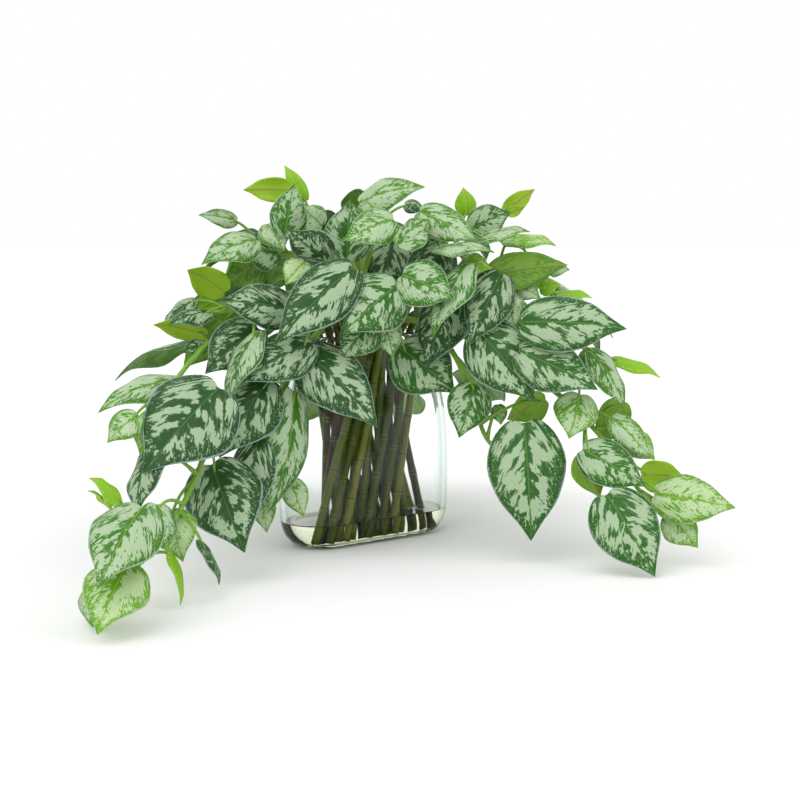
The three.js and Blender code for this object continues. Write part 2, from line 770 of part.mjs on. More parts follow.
function ruledLeaves(stem, curve, number) {
  const out = new THREE.Vector3(1, 0, 0);
  out.applyAxisAngle(UP, THREE.MathUtils.degToRad(stem.azimuth));
  const aside = UP.clone().cross(out);
  const firstShare = RULED_FIRST_KNOT / (curve.points.length - 1);
  const leaves = [];
  for (let order = 0; order < stem.leaves; order += 1) {
    const seed = number * 17 + order * 3;
    const along = (order + RULED_FIRST_LEAF) / (stem.leaves - 1 + RULED_FIRST_LEAF);
    const hand = order % 2 === 0 ? 1 : -1;
    const node = curve.getPoint(THREE.MathUtils.lerp(firstShare, 1, along));
    const base = node.clone()
      .addScaledVector(aside, hand * RULED_STALK_SIDE)
      .addScaledVector(out, RULED_STALK_OUT)
      .addScaledVector(UP, drawn(RULED_STALK_UP, seed));
    const way = out.clone().multiplyScalar(RULED_OUT)
      .addScaledVector(aside, hand * drawn(RULED_SIDE, seed + 1))
      .addScaledVector(UP, -drawn(RULED_DROOP, seed + 2))
      .normalize();
    const length = drawn(RULED_BLADE_LENGTH, seed + 5) * stem.size;
    const [facingOut, facingUp] = RULED_FACING;
    leaves.push({
      base,
      tip: base.clone().addScaledVector(way, length),
      width: length * RULED_BLADE_RATIO,
      facing: out.clone().multiplyScalar(facingOut).addScaledVector(UP, facingUp),
      shiftWay: out.clone().addScaledVector(UP, RULED_SHIFT_RISE).normalize(),
      phase: seed,
    });
  }
  return leaves;
}

function growPlants() {
  const shown = SHOWN_STEMS.map((stem) => {
    const plant = startPlant(stem.name, stem.slot, stem.way.map(placed));
    return { plant, leaves: shownLeaves(stem) };
  });
  const ruled = RULED_STEMS.map((stem, order) => {
    const number = String(order + 1).padStart(2, '0');
    const plant = startPlant(`leafy_stem_rear_${number}`, stem.slot, ruledWay(stem));
    return { plant, leaves: ruledLeaves(stem, plant.curve, order + 1) };
  });
  const rows = [...shown, ...ruled];
  const plants = rows.map(({ plant }) => plant);
  for (const { plant, leaves } of rows) {
    leaves.forEach((leaf) => addLeaf(leaf, plant, plants));
  }
  return plants;
}

function fused(plant) {
  let whole = plant.stem.solid;
  for (const part of [...plant.stalks, ...plant.blades]) {
    whole = whole.add(part.solid);
  }
  return whole;
}

// Assembly

const plants = growPlants();
let water = makeWater();
for (const plant of plants) {
  water = water.subtract(toSolid(stemTube(plant.curve, STEM_HOLE_GAP)));
}

const group = new THREE.Group();
group.add(shadedMesh('vase', toGeometry(makeVase()), { color: 0xdfe8e4, roughness: 0.05, metalness: 0 }));
group.add(shadedMesh('water', toGeometry(water), { color: 0xd9e6e0, roughness: 0.02, metalness: 0 }));
for (const plant of plants) {
  const look = { color: 0x5c8a4f, roughness: 0.45, metalness: 0 };
  group.add(shadedMesh(plant.name, toGeometry(fused(plant)), look));
}

export default group;
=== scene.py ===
"""Scindapsus in a glass vase: the looks of leaves, stems, glass and water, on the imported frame."""

import math

import bmesh
import bpy
from mathutils import Matrix, Vector
from mathutils.kdtree import KDTree


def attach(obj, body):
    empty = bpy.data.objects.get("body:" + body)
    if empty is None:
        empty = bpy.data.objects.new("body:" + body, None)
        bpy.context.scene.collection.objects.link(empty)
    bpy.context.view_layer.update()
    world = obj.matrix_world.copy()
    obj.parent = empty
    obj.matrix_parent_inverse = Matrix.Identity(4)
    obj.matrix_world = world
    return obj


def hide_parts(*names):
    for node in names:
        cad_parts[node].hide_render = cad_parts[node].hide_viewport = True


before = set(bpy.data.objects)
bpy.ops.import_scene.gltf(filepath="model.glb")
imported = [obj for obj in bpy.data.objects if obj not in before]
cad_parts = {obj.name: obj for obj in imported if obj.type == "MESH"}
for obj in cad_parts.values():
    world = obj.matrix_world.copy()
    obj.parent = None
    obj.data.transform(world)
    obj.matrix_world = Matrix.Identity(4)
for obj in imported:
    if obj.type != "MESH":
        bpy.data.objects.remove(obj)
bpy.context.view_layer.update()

bl_info = {
    "name": "Scindapsus in a glass vase",
    "version": (1, 0, 0),
    "blender": (4, 5, 0),
    "location": "View3D > Sidebar > Scindapsus",
    "description": "Leafy stems in a glass vase of water",
    "category": "Add Mesh",
}

MM = 0.001

# Vase and water in mm; each station is height, inset of the long sides, inset of the round ends
VASE_LENGTH = 188
VASE_DEPTH = 76
VASE_YAW = math.radians(37)
GLASS_WALL = 5
FLOOR_HEIGHT = 5
OUTER_WALL = [
    (0, 15, 24), (4, 7, 12), (12, 2.5, 5), (25, 0.5, 1), (50, 0, 0),
    (90, 0, 0), (130, 1.5, 4), (160, 4, 12), (185, 7, 19), (204, 8, 23),
]
FLOOR_ROUNDING = [
    (FLOOR_HEIGHT, 14, 19), (FLOOR_HEIGHT + 3, 9, 12.5), (FLOOR_HEIGHT + 10, 6.5, 8),
]
INNER_WALL_START = FLOOR_HEIGHT + 15
RIM_ROUNDING = 1.2
STATION_STEPS = 4
OVAL_STEPS = 96
OVAL_MERGE = 0.001
ON_AXIS = (VASE_DEPTH / 2, VASE_LENGTH / 2)
WATER_LEVEL = 24
WATER_GAP = 0.05

# The water's raised edge, from the wall inwards: height above the level, and inset
MENISCUS = [(1.2, 0), (0.4, 1.2), (0, 3)]

# Which faces count as floor and as water surface: least upward slope, and reach in height
FLOOR_SLOPE = 0.2
FLOOR_REACH = 8
SURFACE_SLOPE = 0.3
SURFACE_REACH = 2

# Stems in the vase, in mm
STEM_RADIUS = 4
STEM_END_RADIUS = 1.7
STEM_FOOT_HEIGHT = FLOOR_HEIGHT + 3
STEM_STRAIGHT_HEIGHT = 122
STEM_MOUTH_HEIGHT = 209
LAST_COLUMN = 3
COLUMN_PITCHES = {-1.5: (15, 10.5), -0.5: (15, 10.5), 0.5: (20, 10.5), 1.5: (15, 10.5)}
ROW_PITCHES = (10.2, 9.4)
ROW_MIDDLES = {-1.5: (-24.5, 26), -0.5: (-12.5, 10), 0.5: (15, -8), 1.5: (25.5, -24)}
BUNDLE_SCATTERS = (0.45, 0.2)
STEM_SIDES = 12
STEM_RINGS = 16
KNUCKLE_PITCH = 38
KNUCKLE_WIDTH = 2.6
KNUCKLE_RISE = 0.14
BUD_START = 0.96
BUD_LEAST = 0.01

# Leaf stalks and blades, in mm
STALK_RADIUS = 1.7
STALK_END_RADIUS = 1.1
STALK_LENGTH = 34
STALK_MIDDLE = 0.55
STALK_RISE = 0.18
STALK_SWEEP = 0.12
STALK_JOINT = 0.1
STALK_SIDES = 8
STALK_RINGS = 12
STALK_SAMPLES = 8
STALK_MISFIT_STEP = 0.1
STALK_FIRST_KNOT = 2
SHEATH_RISE = 0.9
SHEATH_REACH = 0.12
BLADE_THICKNESS = 0.9
BLADE_BOW = 0.1
BLADE_FOLD = 0.12
BLADE_CURL = 0.26
BLADE_RIPPLE = 0.06
RIPPLE_TURN = 9
RIPPLE_STEP = 1.7
FLAT_WIDTH_SHARE = 1.05
VEIN_SWEEP = 0.3
VEIN_CURVE = 0.22
BLADE_STEPS_ALONG = 22
BLADE_STEPS_ACROSS = 12
BLADE_MERGE = 0.02

# The margin of half a blade from the notch round the lobe to the tip: along, across, rib
MARGIN = [
    (0, 0, 0), (-0.04, 0.16, 0), (0.09, 0.38, 0), (0.34, 0.5, 0.14),
    (0.62, 0.385, 0.4), (0.84, 0.15, 0.72), (1, 0, 1),
]

# Places are given as the plant shows from the front: across, up and front in mm
VIEW_DISTANCE = 1600
VIEW_PITCH = math.radians(7.5)
VIEW_SINE = math.sin(VIEW_PITCH)
VIEW_COSINE = math.cos(VIEW_PITCH)
VIEW_ASIDE = 35
VIEW_ABOVE = 137
PICTURE_PIXELS = 800
SENSOR_WIDTH = 36
CAMERA_REACH = 100

# Lamps: name, pitch and turn in degrees, share of the key strength
LAMPS = [("key", 40, -30, 1), ("fill", 55, 60, 0.35)]
LAMP_SPREAD = math.radians(50)

# Which way a blade's upper face looks: right, towards the viewer, up
FRONT = (0, 1, 0.35)
LEFT = (-0.7, 0.8, 0.3)
RIGHT = (0.7, 0.8, 0.3)
SKY = (0, 0.5, 1)
UNDER = (0, -1, 0.25)
SIDEWAYS = (1, 0.25, 0.1)
CROWN = (0, 0.8, 0.6)

# Ages of leaves, which set their colours
YOUNG = 0.0
PALE = 0.3
MID = 0.6
OLD = 1.0

# Leafy stems that show from the front: slot in the bundle (column, row), way of the stem from the
# mouth on, and the leaves, each as the places of its base and its tip, width, facing and age
SHOWN_STEMS = {
    "left_trailing": ((-3, 0.5), [
        (-62, 222, 62), (-108, 196, 112), (-140, 142, 150), (-162, 78, 192), (-190, 18, 238),
        (-228, -30, 290), (-255, -64, 325),
    ], [
        (-148, 147, 165, -222, 63, 215, 78, FRONT, OLD),
        (-153, 72, 168, -120, -16, 208, 68, FRONT, OLD),
        (-213, 88, 222, -226, 22, 250, 42, LEFT, OLD),
        (-223, 29, 318, -268, -53, 392, 54, FRONT, 0.5),
        (-208, 32, 258, -203, -12, 280, 36, RIGHT, 0.45),
        (-195, 25, 235, -182, -25, 262, 38, FRONT, 0.2),
        (-195, -14, 250, -185, -68, 274, 22, SIDEWAYS, YOUNG),
        (-165, -5, 222, -146, -48, 236, 24, SIDEWAYS, OLD),
        (-245, 35, 290, -276, 59, 300, 22, SKY, YOUNG),
        (-252, 24, 306, -277, 46, 330, 20, SKY, YOUNG),
        (-262, -28, 315, -272, -91, 352, 44, LEFT, PALE),
        (-238, -28, 342, -268, -98, 388, 50, FRONT, 0.2),
    ]),
    "left_upper_trailing": ((-3, 1.5), [
        (-82, 236, 46), (-130, 214, 78), (-172, 178, 122), (-200, 142, 172), (-216, 128, 204),
    ], [
        (-180, 157, 150, -267, 124, 205, 46, SKY, 0.45),
        (-228, 122, 215, -258, 94, 235, 27, FRONT, PALE),
        (-210, 125, 205, -225, 81, 225, 27, FRONT, 0.15),
        (-160, 192, 100, -183, 184, 116, 16, FRONT, OLD),
        (-160, 202, 80, -212, 212, 110, 20, UNDER, YOUNG),
    ]),
    "left_inner": ((-2, 0.5), [
        (-40, 212, 70), (-72, 168, 98), (-92, 112, 108), (-98, 62, 106), (-88, 44, 102),
    ], [
        (-97, 155, 125, -146, 79, 150, 56, FRONT, OLD),
        (-72, 145, 112, -97, 24, 118, 50, RIGHT, 0.55),
        (-107, 95, 120, -122, 9, 140, 40, FRONT, OLD),
        (-115, 90, 130, -125, 52, 142, 16, FRONT, 0.2),
        (-75, 57, 98, -61, 20, 102, 24, FRONT, 0.3),
        (-103, 42, 105, -98, 4, 115, 22, FRONT, 0.4),
    ]),
    "left_middle": ((-2, 1.5), [
        (-62, 244, 42), (-98, 236, 72), (-138, 226, 76), (-166, 226, 70),
    ], [
        (-107, 204, 120, -137, 130, 155, 36, LEFT, 0.7),
        (-107, 209, 105, -160, 163, 140, 50, FRONT, OLD),
        (-133, 225, 85, -182, 168, 110, 36, UNDER, 0.5),
        (-155, 224, 85, -197, 210, 110, 30, SKY, OLD),
        (-170, 237, 70, -202, 207, 85, 26, LEFT, OLD),
        (-73, 227, 95, -147, 236, 130, 42, FRONT, OLD),
    ]),
    "left_high": ((-1, 1.5), [
        (-52, 266, 12), (-88, 288, 18), (-118, 292, 24), (-134, 278, 34),
    ], [
        (-140, 245, 50, -178, 267, 75, 32, UNDER, YOUNG),
        (-140, 240, 58, -170, 223, 80, 28, UNDER, YOUNG),
        (-103, 275, 30, -140, 252, 45, 36, UNDER, MID),
        (-85, 282, 28, -125, 287, 40, 34, FRONT, MID),
        (-110, 297, 54, -164, 272, 97, 36, FRONT, 0.45),
        (-129, 316, 30, -167, 322, 50, 18, FRONT, 0.5),
        (-103, 292, 25, -131, 305, 33, 22, FRONT, OLD),
        (-97, 313, 45, -81, 285, 60, 30, FRONT, 0.35),
    ]),
    "centre_left": ((-3, -0.5), [
        (-22, 232, 62), (-38, 246, 86), (-50, 232, 98), (-58, 212, 100),
    ], [
        (-13, 269, 110, -90, 192, 140, 52, FRONT, OLD),
        (-54, 194, 110, -129, 153, 150, 46, FRONT, OLD),
        (-62, 187, 105, 13, 109, 125, 58, FRONT, OLD),
        (-60, 275, 85, -80, 252, 100, 27, FRONT, 0.2),
        (-37, 280, 80, -79, 309, 100, 36, LEFT, OLD),
    ]),
    "crown_left": ((-1, 0.5), [
        (-38, 250, 16), (-46, 286, 18), (-52, 312, 20), (-58, 330, 18),
    ], [
        (-73, 347, 20, -122, 347, 30, 24, UNDER, YOUNG),
        (-60, 337, 15, -81, 372, 10, 16, FRONT, YOUNG),
        (-80, 302, 30, -70, 354, 35, 34, FRONT, 0.55),
        (-43, 311, 35, -65, 331, 42, 27, FRONT, PALE),
        (-18, 278, 60, -15, 337, 50, 46, FRONT, 0.7),
    ]),
    "crown_centre": ((-2, -0.5), [
        (-4, 246, 20), (4, 282, 32), (12, 306, 36), (18, 322, 32),
    ], [
        (33, 293, 90, 65, 317, 85, 46, SKY, 0.5),
        (28, 317, 70, -22, 296, 95, 36, FRONT, 0.4),
        (-5, 334, 10, 60, 350, 30, 38, CROWN, 0.4),
        (40, 332, 35, 60, 327, 40, 14, FRONT, OLD),
        (30, 302, 20, 12, 240, 44, 44, FRONT, OLD),
        (75, 292, 30, 50, 222, 52, 46, FRONT, OLD),
    ]),
    "centre_right": ((-3, -1.5), [
        (4, 226, 56), (14, 236, 74), (24, 232, 86), (30, 214, 84),
    ], [
        (32, 252, 105, -23, 202, 125, 56, FRONT, 0.75),
        (7, 215, 98, -24, 178, 108, 38, FRONT, 0.7),
        (20, 217, 92, 28, 179, 100, 25, FRONT, 0.45),
        (38, 262, 100, 90, 237, 120, 46, FRONT, 0.55),
        (35, 189, 62, 90, 144, 78, 60, FRONT, 0.75),
    ]),
    "crown_right": ((0, -0.5), [
        (34, 256, 10), (62, 284, 26), (88, 300, 36), (112, 312, 34),
    ], [
        (55, 325, 60, 113, 294, 85, 34, FRONT, 0.4),
        (70, 287, 80, 130, 284, 100, 26, SKY, 0.45),
        (97, 275, 75, 127, 268, 88, 22, FRONT, 0.1),
        (102, 322, 10, 98, 350, 8, 20, FRONT, YOUNG),
        (105, 307, 35, 147, 325, 50, 36, FRONT, 0.7),
        (140, 325, 20, 170, 348, 25, 18, UNDER, YOUNG),
        (143, 323, 22, 159, 330, 26, 11, UNDER, YOUNG),
        (113, 297, 55, 165, 305, 75, 30, SKY, 0.45),
    ]),
    "right_high": ((3, -1.5), [
        (72, 246, 6), (108, 262, 30), (142, 262, 48), (168, 252, 52),
    ], [
        (140, 297, 50, 191, 291, 70, 30, SKY, 0.15),
        (125, 262, 70, 203, 272, 85, 36, UNDER, 0.5),
        (183, 269, 50, 205, 267, 55, 16, FRONT, PALE),
        (175, 247, 55, 195, 253, 60, 15, FRONT, YOUNG),
        (188, 241, 40, 227, 239, 50, 24, SKY, YOUNG),
        (150, 253, 85, 176, 238, 95, 22, FRONT, 0.4),
        (135, 250, 78, 165, 241, 85, 20, SKY, 0.1),
    ]),
    "right_front": ((-2, -1.5), [
        (34, 226, 44), (64, 240, 66), (96, 240, 82), (118, 222, 86),
    ], [
        (103, 272, 95, 68, 199, 125, 40, LEFT, 0.55),
        (135, 262, 75, 105, 192, 95, 44, FRONT, 0.95),
        (140, 244, 90, 150, 207, 100, 27, FRONT, 0.5),
        (113, 207, 110, 170, 135, 135, 60, FRONT, 0.9),
        (88, 240, 44, 62, 168, 56, 48, FRONT, OLD),
    ]),
    "right_low": ((-1, -1.5), [
        (50, 216, 40), (84, 190, 66), (106, 144, 82), (122, 98, 90), (142, 80, 96),
    ], [
        (110, 152, 90, 94, 99, 100, 40, FRONT, 0.7),
        (133, 132, 80, 136, 112, 82, 15, FRONT, PALE),
        (180, 137, 75, 142, 117, 80, 30, UNDER, PALE),
        (159, 113, 110, 166, -4, 122, 70, FRONT, 0.8),
    ]),
    "right_middle": ((2, -1.5), [
        (78, 240, 24), (118, 230, 60), (160, 210, 84), (200, 186, 88), (226, 166, 86),
    ], [
        (158, 215, 110, 262, 208, 130, 52, FRONT, 0.8),
        (155, 185, 100, 233, 147, 120, 48, FRONT, 0.8),
        (233, 185, 85, 213, 161, 95, 24, FRONT, 0.1),
        (225, 185, 95, 259, 128, 105, 38, RIGHT, 0.5),
        (247, 177, 80, 295, 159, 90, 22, SKY, YOUNG),
        (215, 142, 105, 204, 98, 115, 40, FRONT, 0.25),
    ]),
    "right_trailing": ((1, -1.5), [
        (64, 226, 30), (112, 200, 56), (166, 164, 78), (212, 126, 92), (246, 88, 108),
        (270, 52, 122), (296, 26, 130),
    ], [
        (257, 135, 95, 235, 91, 105, 32, UNDER, 0.4),
        (247, 119, 110, 286, 79, 120, 26, FRONT, PALE),
        (263, 101, 100, 290, 77, 108, 26, FRONT, 0.2),
        (218, 87, 120, 281, 50, 138, 42, FRONT, 0.6),
        (217, 82, 112, 235, 39, 125, 30, UNDER, 0.4),
        (277, 62, 110, 320, 59, 120, 32, UNDER, YOUNG),
        (290, 42, 130, 371, 29, 150, 44, FRONT, 0.22),
        (242, 42, 150, 290, -40, 178, 60, FRONT, 0.75),
        (303, 22, 125, 333, -11, 135, 32, FRONT, 0.25),
    ]),
}

# Leafy stems at the back, in the crown and inside: slot, azimuth in degrees, reach, heights of the
# arch and the end, and the size of the leaves
RULED_STEMS = [
    ((3, -0.5), 18, 180, 262, 205, 1),
    ((2, -0.5), 45, 165, 255, 130, 1),
    ((2, 0.5), 70, 160, 262, 112, 1),
    ((2, 1.5), 96, 160, 255, 100, 1),
    ((1, 1.5), 122, 165, 258, 120, 1),
    ((0, 1.5), 150, 160, 258, 170, 1),
    ((1, -0.5), 30, 100, 288, 286, 0.72),
    ((3, 0.5), 61, 92, 296, 288, 0.72),
    ((3, 1.5), 88, 86, 298, 284, 0.72),
    ((1, 0.5), 130, 95, 296, 288, 0.72),
    ((0, 0.5), 165, 85, 286, 280, 0.72),
    ((-1, -0.5), 75, 34, 290, 318, 0.72),
]
RULED_LEAVES = 3
RULED_STALK_SIDE = 22
RULED_STALK_OUT = 14
RULED_STALK_UP = (12, 22)
RULED_BLADE_LENGTH = (92, 120)
RULED_BLADE_RATIO = 0.58
RULED_OUT = 0.66
RULED_SIDE = (0.27, 0.72)
RULED_DROOP = (0.33, 0.77)
RULED_FACING = (0.6, 0.9)
RULED_SHIFT_RISE = 0.4
RULED_FIRST_KNOT = 3.2
RULED_FIRST_LEAF = 0.6
RULED_AGE = (0.45, 1)

# A ruled stem's way: shares of its reach, how much it gathers to the middle, its rise and fall
RULED_REACHES = (0.12, 0.45, 0.78, 1)
RULED_GATHERING = 0.6
RULED_RISE = 0.6
RULED_FALL = 0.45

# Turns and shifts that clear a leaf of its neighbours, in the order of the tries
CLEARING_TURNS = (0, 12, -12, 25, -25, 40, -40)
CLEARING_SHIFTS = (0, 6, -6, 12, -12, 18, -18, 26, -26)

# Points of a blade that the frame must hold where the leaf has settled, and how far they may miss
SETTLED_POINTS = [(1, 0), (0.84, 0.15), (0.84, -0.15)]
SETTLED_MISS = 0.05

UP = Vector((0, 0, 1))
CHANCE_TURN = 12.9898
CHANCE_SPREAD = 43758.5453
LEAST_KNOT_GAP = 1e-4
LEAST_SIDE = 1e-3


# Places


def mix(low, high, share):
    return low + (high - low) * share


def chance(seed):
    wave = math.sin(seed * CHANCE_TURN) * CHANCE_SPREAD
    return wave - math.floor(wave)


def turned(point, angle):
    return Matrix.Rotation(angle, 3, "Z") @ Vector(point)


def placed(place):
    """Where a place lies that is given as it shows from the front."""
    across, up, front = place
    rise = (up - VIEW_ABOVE) / VIEW_DISTANCE
    height = (up + front * (VIEW_SINE - rise * VIEW_COSINE)) / (VIEW_COSINE + rise * VIEW_SINE)
    reach = VIEW_DISTANCE - front * VIEW_COSINE - height * VIEW_SINE
    aside = VIEW_ASIDE + (across - VIEW_ASIDE) * reach / VIEW_DISTANCE
    return Vector((aside, -front, height))


def eye_place():
    back = VIEW_DISTANCE * VIEW_COSINE - VIEW_ABOVE * VIEW_SINE
    height = VIEW_DISTANCE * VIEW_SINE + VIEW_ABOVE * VIEW_COSINE
    return Vector((VIEW_ASIDE, -back, height))


def bundle_place(slot, height):
    column, row = slot
    share = (height - STEM_FOOT_HEIGHT) / (STEM_MOUTH_HEIGHT - STEM_FOOT_HEIGHT)
    inside = 1 - abs(column) / LAST_COLUMN
    scatter = (chance(column * 3 + row * 7) - 0.5) * mix(*BUNDLE_SCATTERS, share) * inside
    pitch = mix(*COLUMN_PITCHES[row], share)
    along = (column + scatter) * pitch + mix(*ROW_MIDDLES[row], share)
    across = row * mix(*ROW_PITCHES, share)
    return turned((along, across, 0), VASE_YAW) + UP * height


def stem_knots(slot, way):
    in_vase = (STEM_FOOT_HEIGHT, STEM_STRAIGHT_HEIGHT, STEM_MOUTH_HEIGHT)
    return [bundle_place(slot, height) for height in in_vase] + way


def curve_point(knots, place):
    """A point of the centripetal Catmull-Rom curve through the knots; place counts the knots."""
    first = min(int(place), len(knots) - 2)
    share = place - first
    start = knots[first]
    end = knots[first + 1]
    before = knots[first - 1] if first > 0 else start * 2 - end
    after = knots[first + 2] if first + 2 < len(knots) else end * 2 - start
    steps = (start - before, end - start, after - end)
    gap_before, gap, gap_after = (max(step.length ** 0.5, LEAST_KNOT_GAP) for step in steps)
    out = (start - before) / gap_before - (end - before) / (gap_before + gap) + (end - start) / gap
    into = (end - start) / gap - (after - start) / (gap + gap_after) + (after - end) / gap_after
    out = out * gap
    into = into * gap
    square = share * share
    cube = square * share
    return (
        start + out * share
        + (end * 3 - start * 3 - out * 2 - into) * square
        + (start * 2 - end * 2 + out + into) * cube
    )


def ruled_way(stem):
    slot, azimuth, reach, arch, end, _ = stem
    mouth = bundle_place(slot, STEM_MOUTH_HEIGHT)
    out = turned((1, 0, 0), math.radians(azimuth))
    heights = (mix(STEM_MOUTH_HEIGHT, arch, RULED_RISE), arch, mix(arch, end, RULED_FALL), end)
    way = []
    for share, height in zip(RULED_REACHES, heights):
        point = mouth * (1 - share * RULED_GATHERING) + out * (reach * share)
        way.append(Vector((point.x, point.y, height)))
    return way


# Leaves of each stem, before they are cleared of their neighbours


def shown_leaves(rows):
    leaves = []
    for order, (*ends, width, facing, age) in enumerate(rows):
        tip = placed(ends[3:])
        leaves.append({
            "base": placed(ends[:3]),
            "tip": tip,
            "width": width * FLAT_WIDTH_SHARE,
            "facing": Vector((facing[0], -facing[1], facing[2])),
            "shift_way": (eye_place() - tip).normalized(),
            "phase": order * RIPPLE_STEP,
            "age": age,
        })
    return leaves


def drawn(limits, seed):
    return mix(*limits, chance(seed))


def ruled_leaves(stem, knots, number):
    out = turned((1, 0, 0), math.radians(stem[1]))
    aside = UP.cross(out)
    last = len(knots) - 1
    leaves = []
    for order in range(RULED_LEAVES):
        seed = number * 17 + order * 3
        along = (order + RULED_FIRST_LEAF) / (RULED_LEAVES - 1 + RULED_FIRST_LEAF)
        hand = 1 if order % 2 == 0 else -1
        node = curve_point(knots, mix(RULED_FIRST_KNOT, last, along))
        base = (
            node + aside * (hand * RULED_STALK_SIDE) + out * RULED_STALK_OUT
            + UP * drawn(RULED_STALK_UP, seed)
        )
        way = (
            out * RULED_OUT + aside * (hand * drawn(RULED_SIDE, seed + 1))
            - UP * drawn(RULED_DROOP, seed + 2)
        ).normalized()
        length = drawn(RULED_BLADE_LENGTH, seed + 5) * stem[5]
        facing_out, facing_up = RULED_FACING
        leaves.append({
            "base": base,
            "tip": base + way * length,
            "width": length * RULED_BLADE_RATIO,
            "facing": out * facing_out + UP * facing_up,
            "shift_way": (out + UP * RULED_SHIFT_RISE).normalized(),
            "phase": seed,
            "age": drawn(RULED_AGE, seed + 7),
        })
    return leaves


# The form of a blade


def leaf_shape(leaf, turn, shift):
    base = leaf["base"] + leaf["shift_way"] * shift
    tip = leaf["tip"] + leaf["shift_way"] * shift
    along = tip - base
    length = along.length
    along.normalize()
    facing = leaf["facing"]
    normal = (facing - along * facing.dot(along)).normalized()
    normal = Matrix.Rotation(math.radians(turn), 3, along) @ normal
    return {
        **leaf, "base": base, "length": length, "along": along, "normal": normal,
        "across": normal.cross(along),
    }


def blade_point(shape, along, across, lift=0):
    outward = abs(across) * 2
    side_sign = (across > 0) - (across < 0)
    bow = BLADE_BOW * shape["length"] * 4 * along * (1 - along)
    ripple = math.sin(along * RIPPLE_TURN + shape["phase"] + side_sign) * BLADE_RIPPLE
    side = BLADE_FOLD * outward + (ripple - BLADE_CURL) * outward * outward
    return (
        shape["base"] + shape["along"] * (along * shape["length"])
        + shape["across"] * (across * shape["width"])
        + shape["normal"] * (bow + side * shape["width"] + lift)
    )


def settled_shape(leaf, corners):
    """The leaf with the turn and shift at which the frame holds it, or None if it isn't there."""
    for turn in CLEARING_TURNS:
        for shift in CLEARING_SHIFTS:
            shape = leaf_shape(leaf, turn, shift)
            points = [
                blade_point(shape, along, across, BLADE_THICKNESS / 2)
                for along, across in SETTLED_POINTS
            ]
            if all(corners.find(point * MM)[2] <= SETTLED_MISS * MM for point in points):
                return shape
    return None


def point_tree(points):
    tree = KDTree(len(points))
    for number, point in enumerate(points):
        tree.insert(point, number)
    tree.balance()
    return tree


def stalk_root(shape, knots):
    """Where on its stem a leaf's stalk starts, counted in knots."""

    def misfit(step):
        knot = min(step // STALK_SAMPLES, len(knots) - 2)
        point = knots[knot].lerp(knots[knot + 1], step / STALK_SAMPLES - knot)
        return abs((point - shape["base"]).length - STALK_LENGTH) + step * STALK_MISFIT_STEP

    steps = range(STALK_FIRST_KNOT * STALK_SAMPLES, (len(knots) - 1) * STALK_SAMPLES + 1)
    return min(steps, key=misfit) / STALK_SAMPLES


# Meshes


def baked(name, bm):
    mesh = bpy.data.meshes.new(name)
    bm.to_mesh(mesh)
    bm.free()
    return mesh


def add_object(name, data):
    made = bpy.data.objects.new(name, data)
    bpy.context.scene.collection.objects.link(made)
    return made


def finish_piece(name, bm, materials, nodes):
    """Turns the bmesh into a piece in place, in metres, that rides on the frame."""
    bmesh.ops.scale(bm, vec=(MM, MM, MM), verts=bm.verts)
    mesh = baked(name, bm)
    mesh.shade_smooth()
    for material in materials:
        mesh.materials.append(material)
    piece = add_object(name, mesh)
    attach(piece, "root")
    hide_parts(*nodes)
    return piece


def add_blade(bm, shape, layers, seed):
    """One blade as a grid: across it from margin to margin, and along it from notch to tip."""
    made = bmesh.ops.create_grid(
        bm, x_segments=BLADE_STEPS_ALONG, y_segments=BLADE_STEPS_ACROSS, size=1
    )
    corners = made["verts"]
    faces = {face for corner in corners for face in corner.link_faces}
    blade_uv, vein_uv, draw_uv = layers
    margin = [Vector(point) for point in MARGIN]
    flat = {}
    for corner in corners:
        side = round(corner.co.y, 6)
        edge = curve_point(margin, (corner.co.x + 1) / 2 * (len(margin) - 1))
        flat[corner] = (mix(edge.z, edge.x, abs(side)), edge.y * side, side)
    for face in faces:
        for loop in face.loops:
            along, across, side = flat[loop.vert]
            loop[blade_uv].uv = (along * shape["length"] * MM, across * shape["width"] * MM)
            outward = abs(across) * 2
            sweep = outward * (VEIN_SWEEP + VEIN_CURVE * outward)
            loop[vein_uv].uv = (along - sweep, side)
            loop[draw_uv].uv = (shape["age"], seed)
    for corner in corners:
        along, across, _ = flat[corner]
        corner.co = blade_point(shape, along, across)
    bmesh.ops.remove_doubles(bm, verts=corners, dist=BLADE_MERGE)
    faces = [face for face in faces if face.is_valid]
    bmesh.ops.recalc_face_normals(bm, faces=faces)
    if sum(face.normal.dot(shape["normal"]) for face in faces) < 0:
        bmesh.ops.reverse_faces(bm, faces=faces)


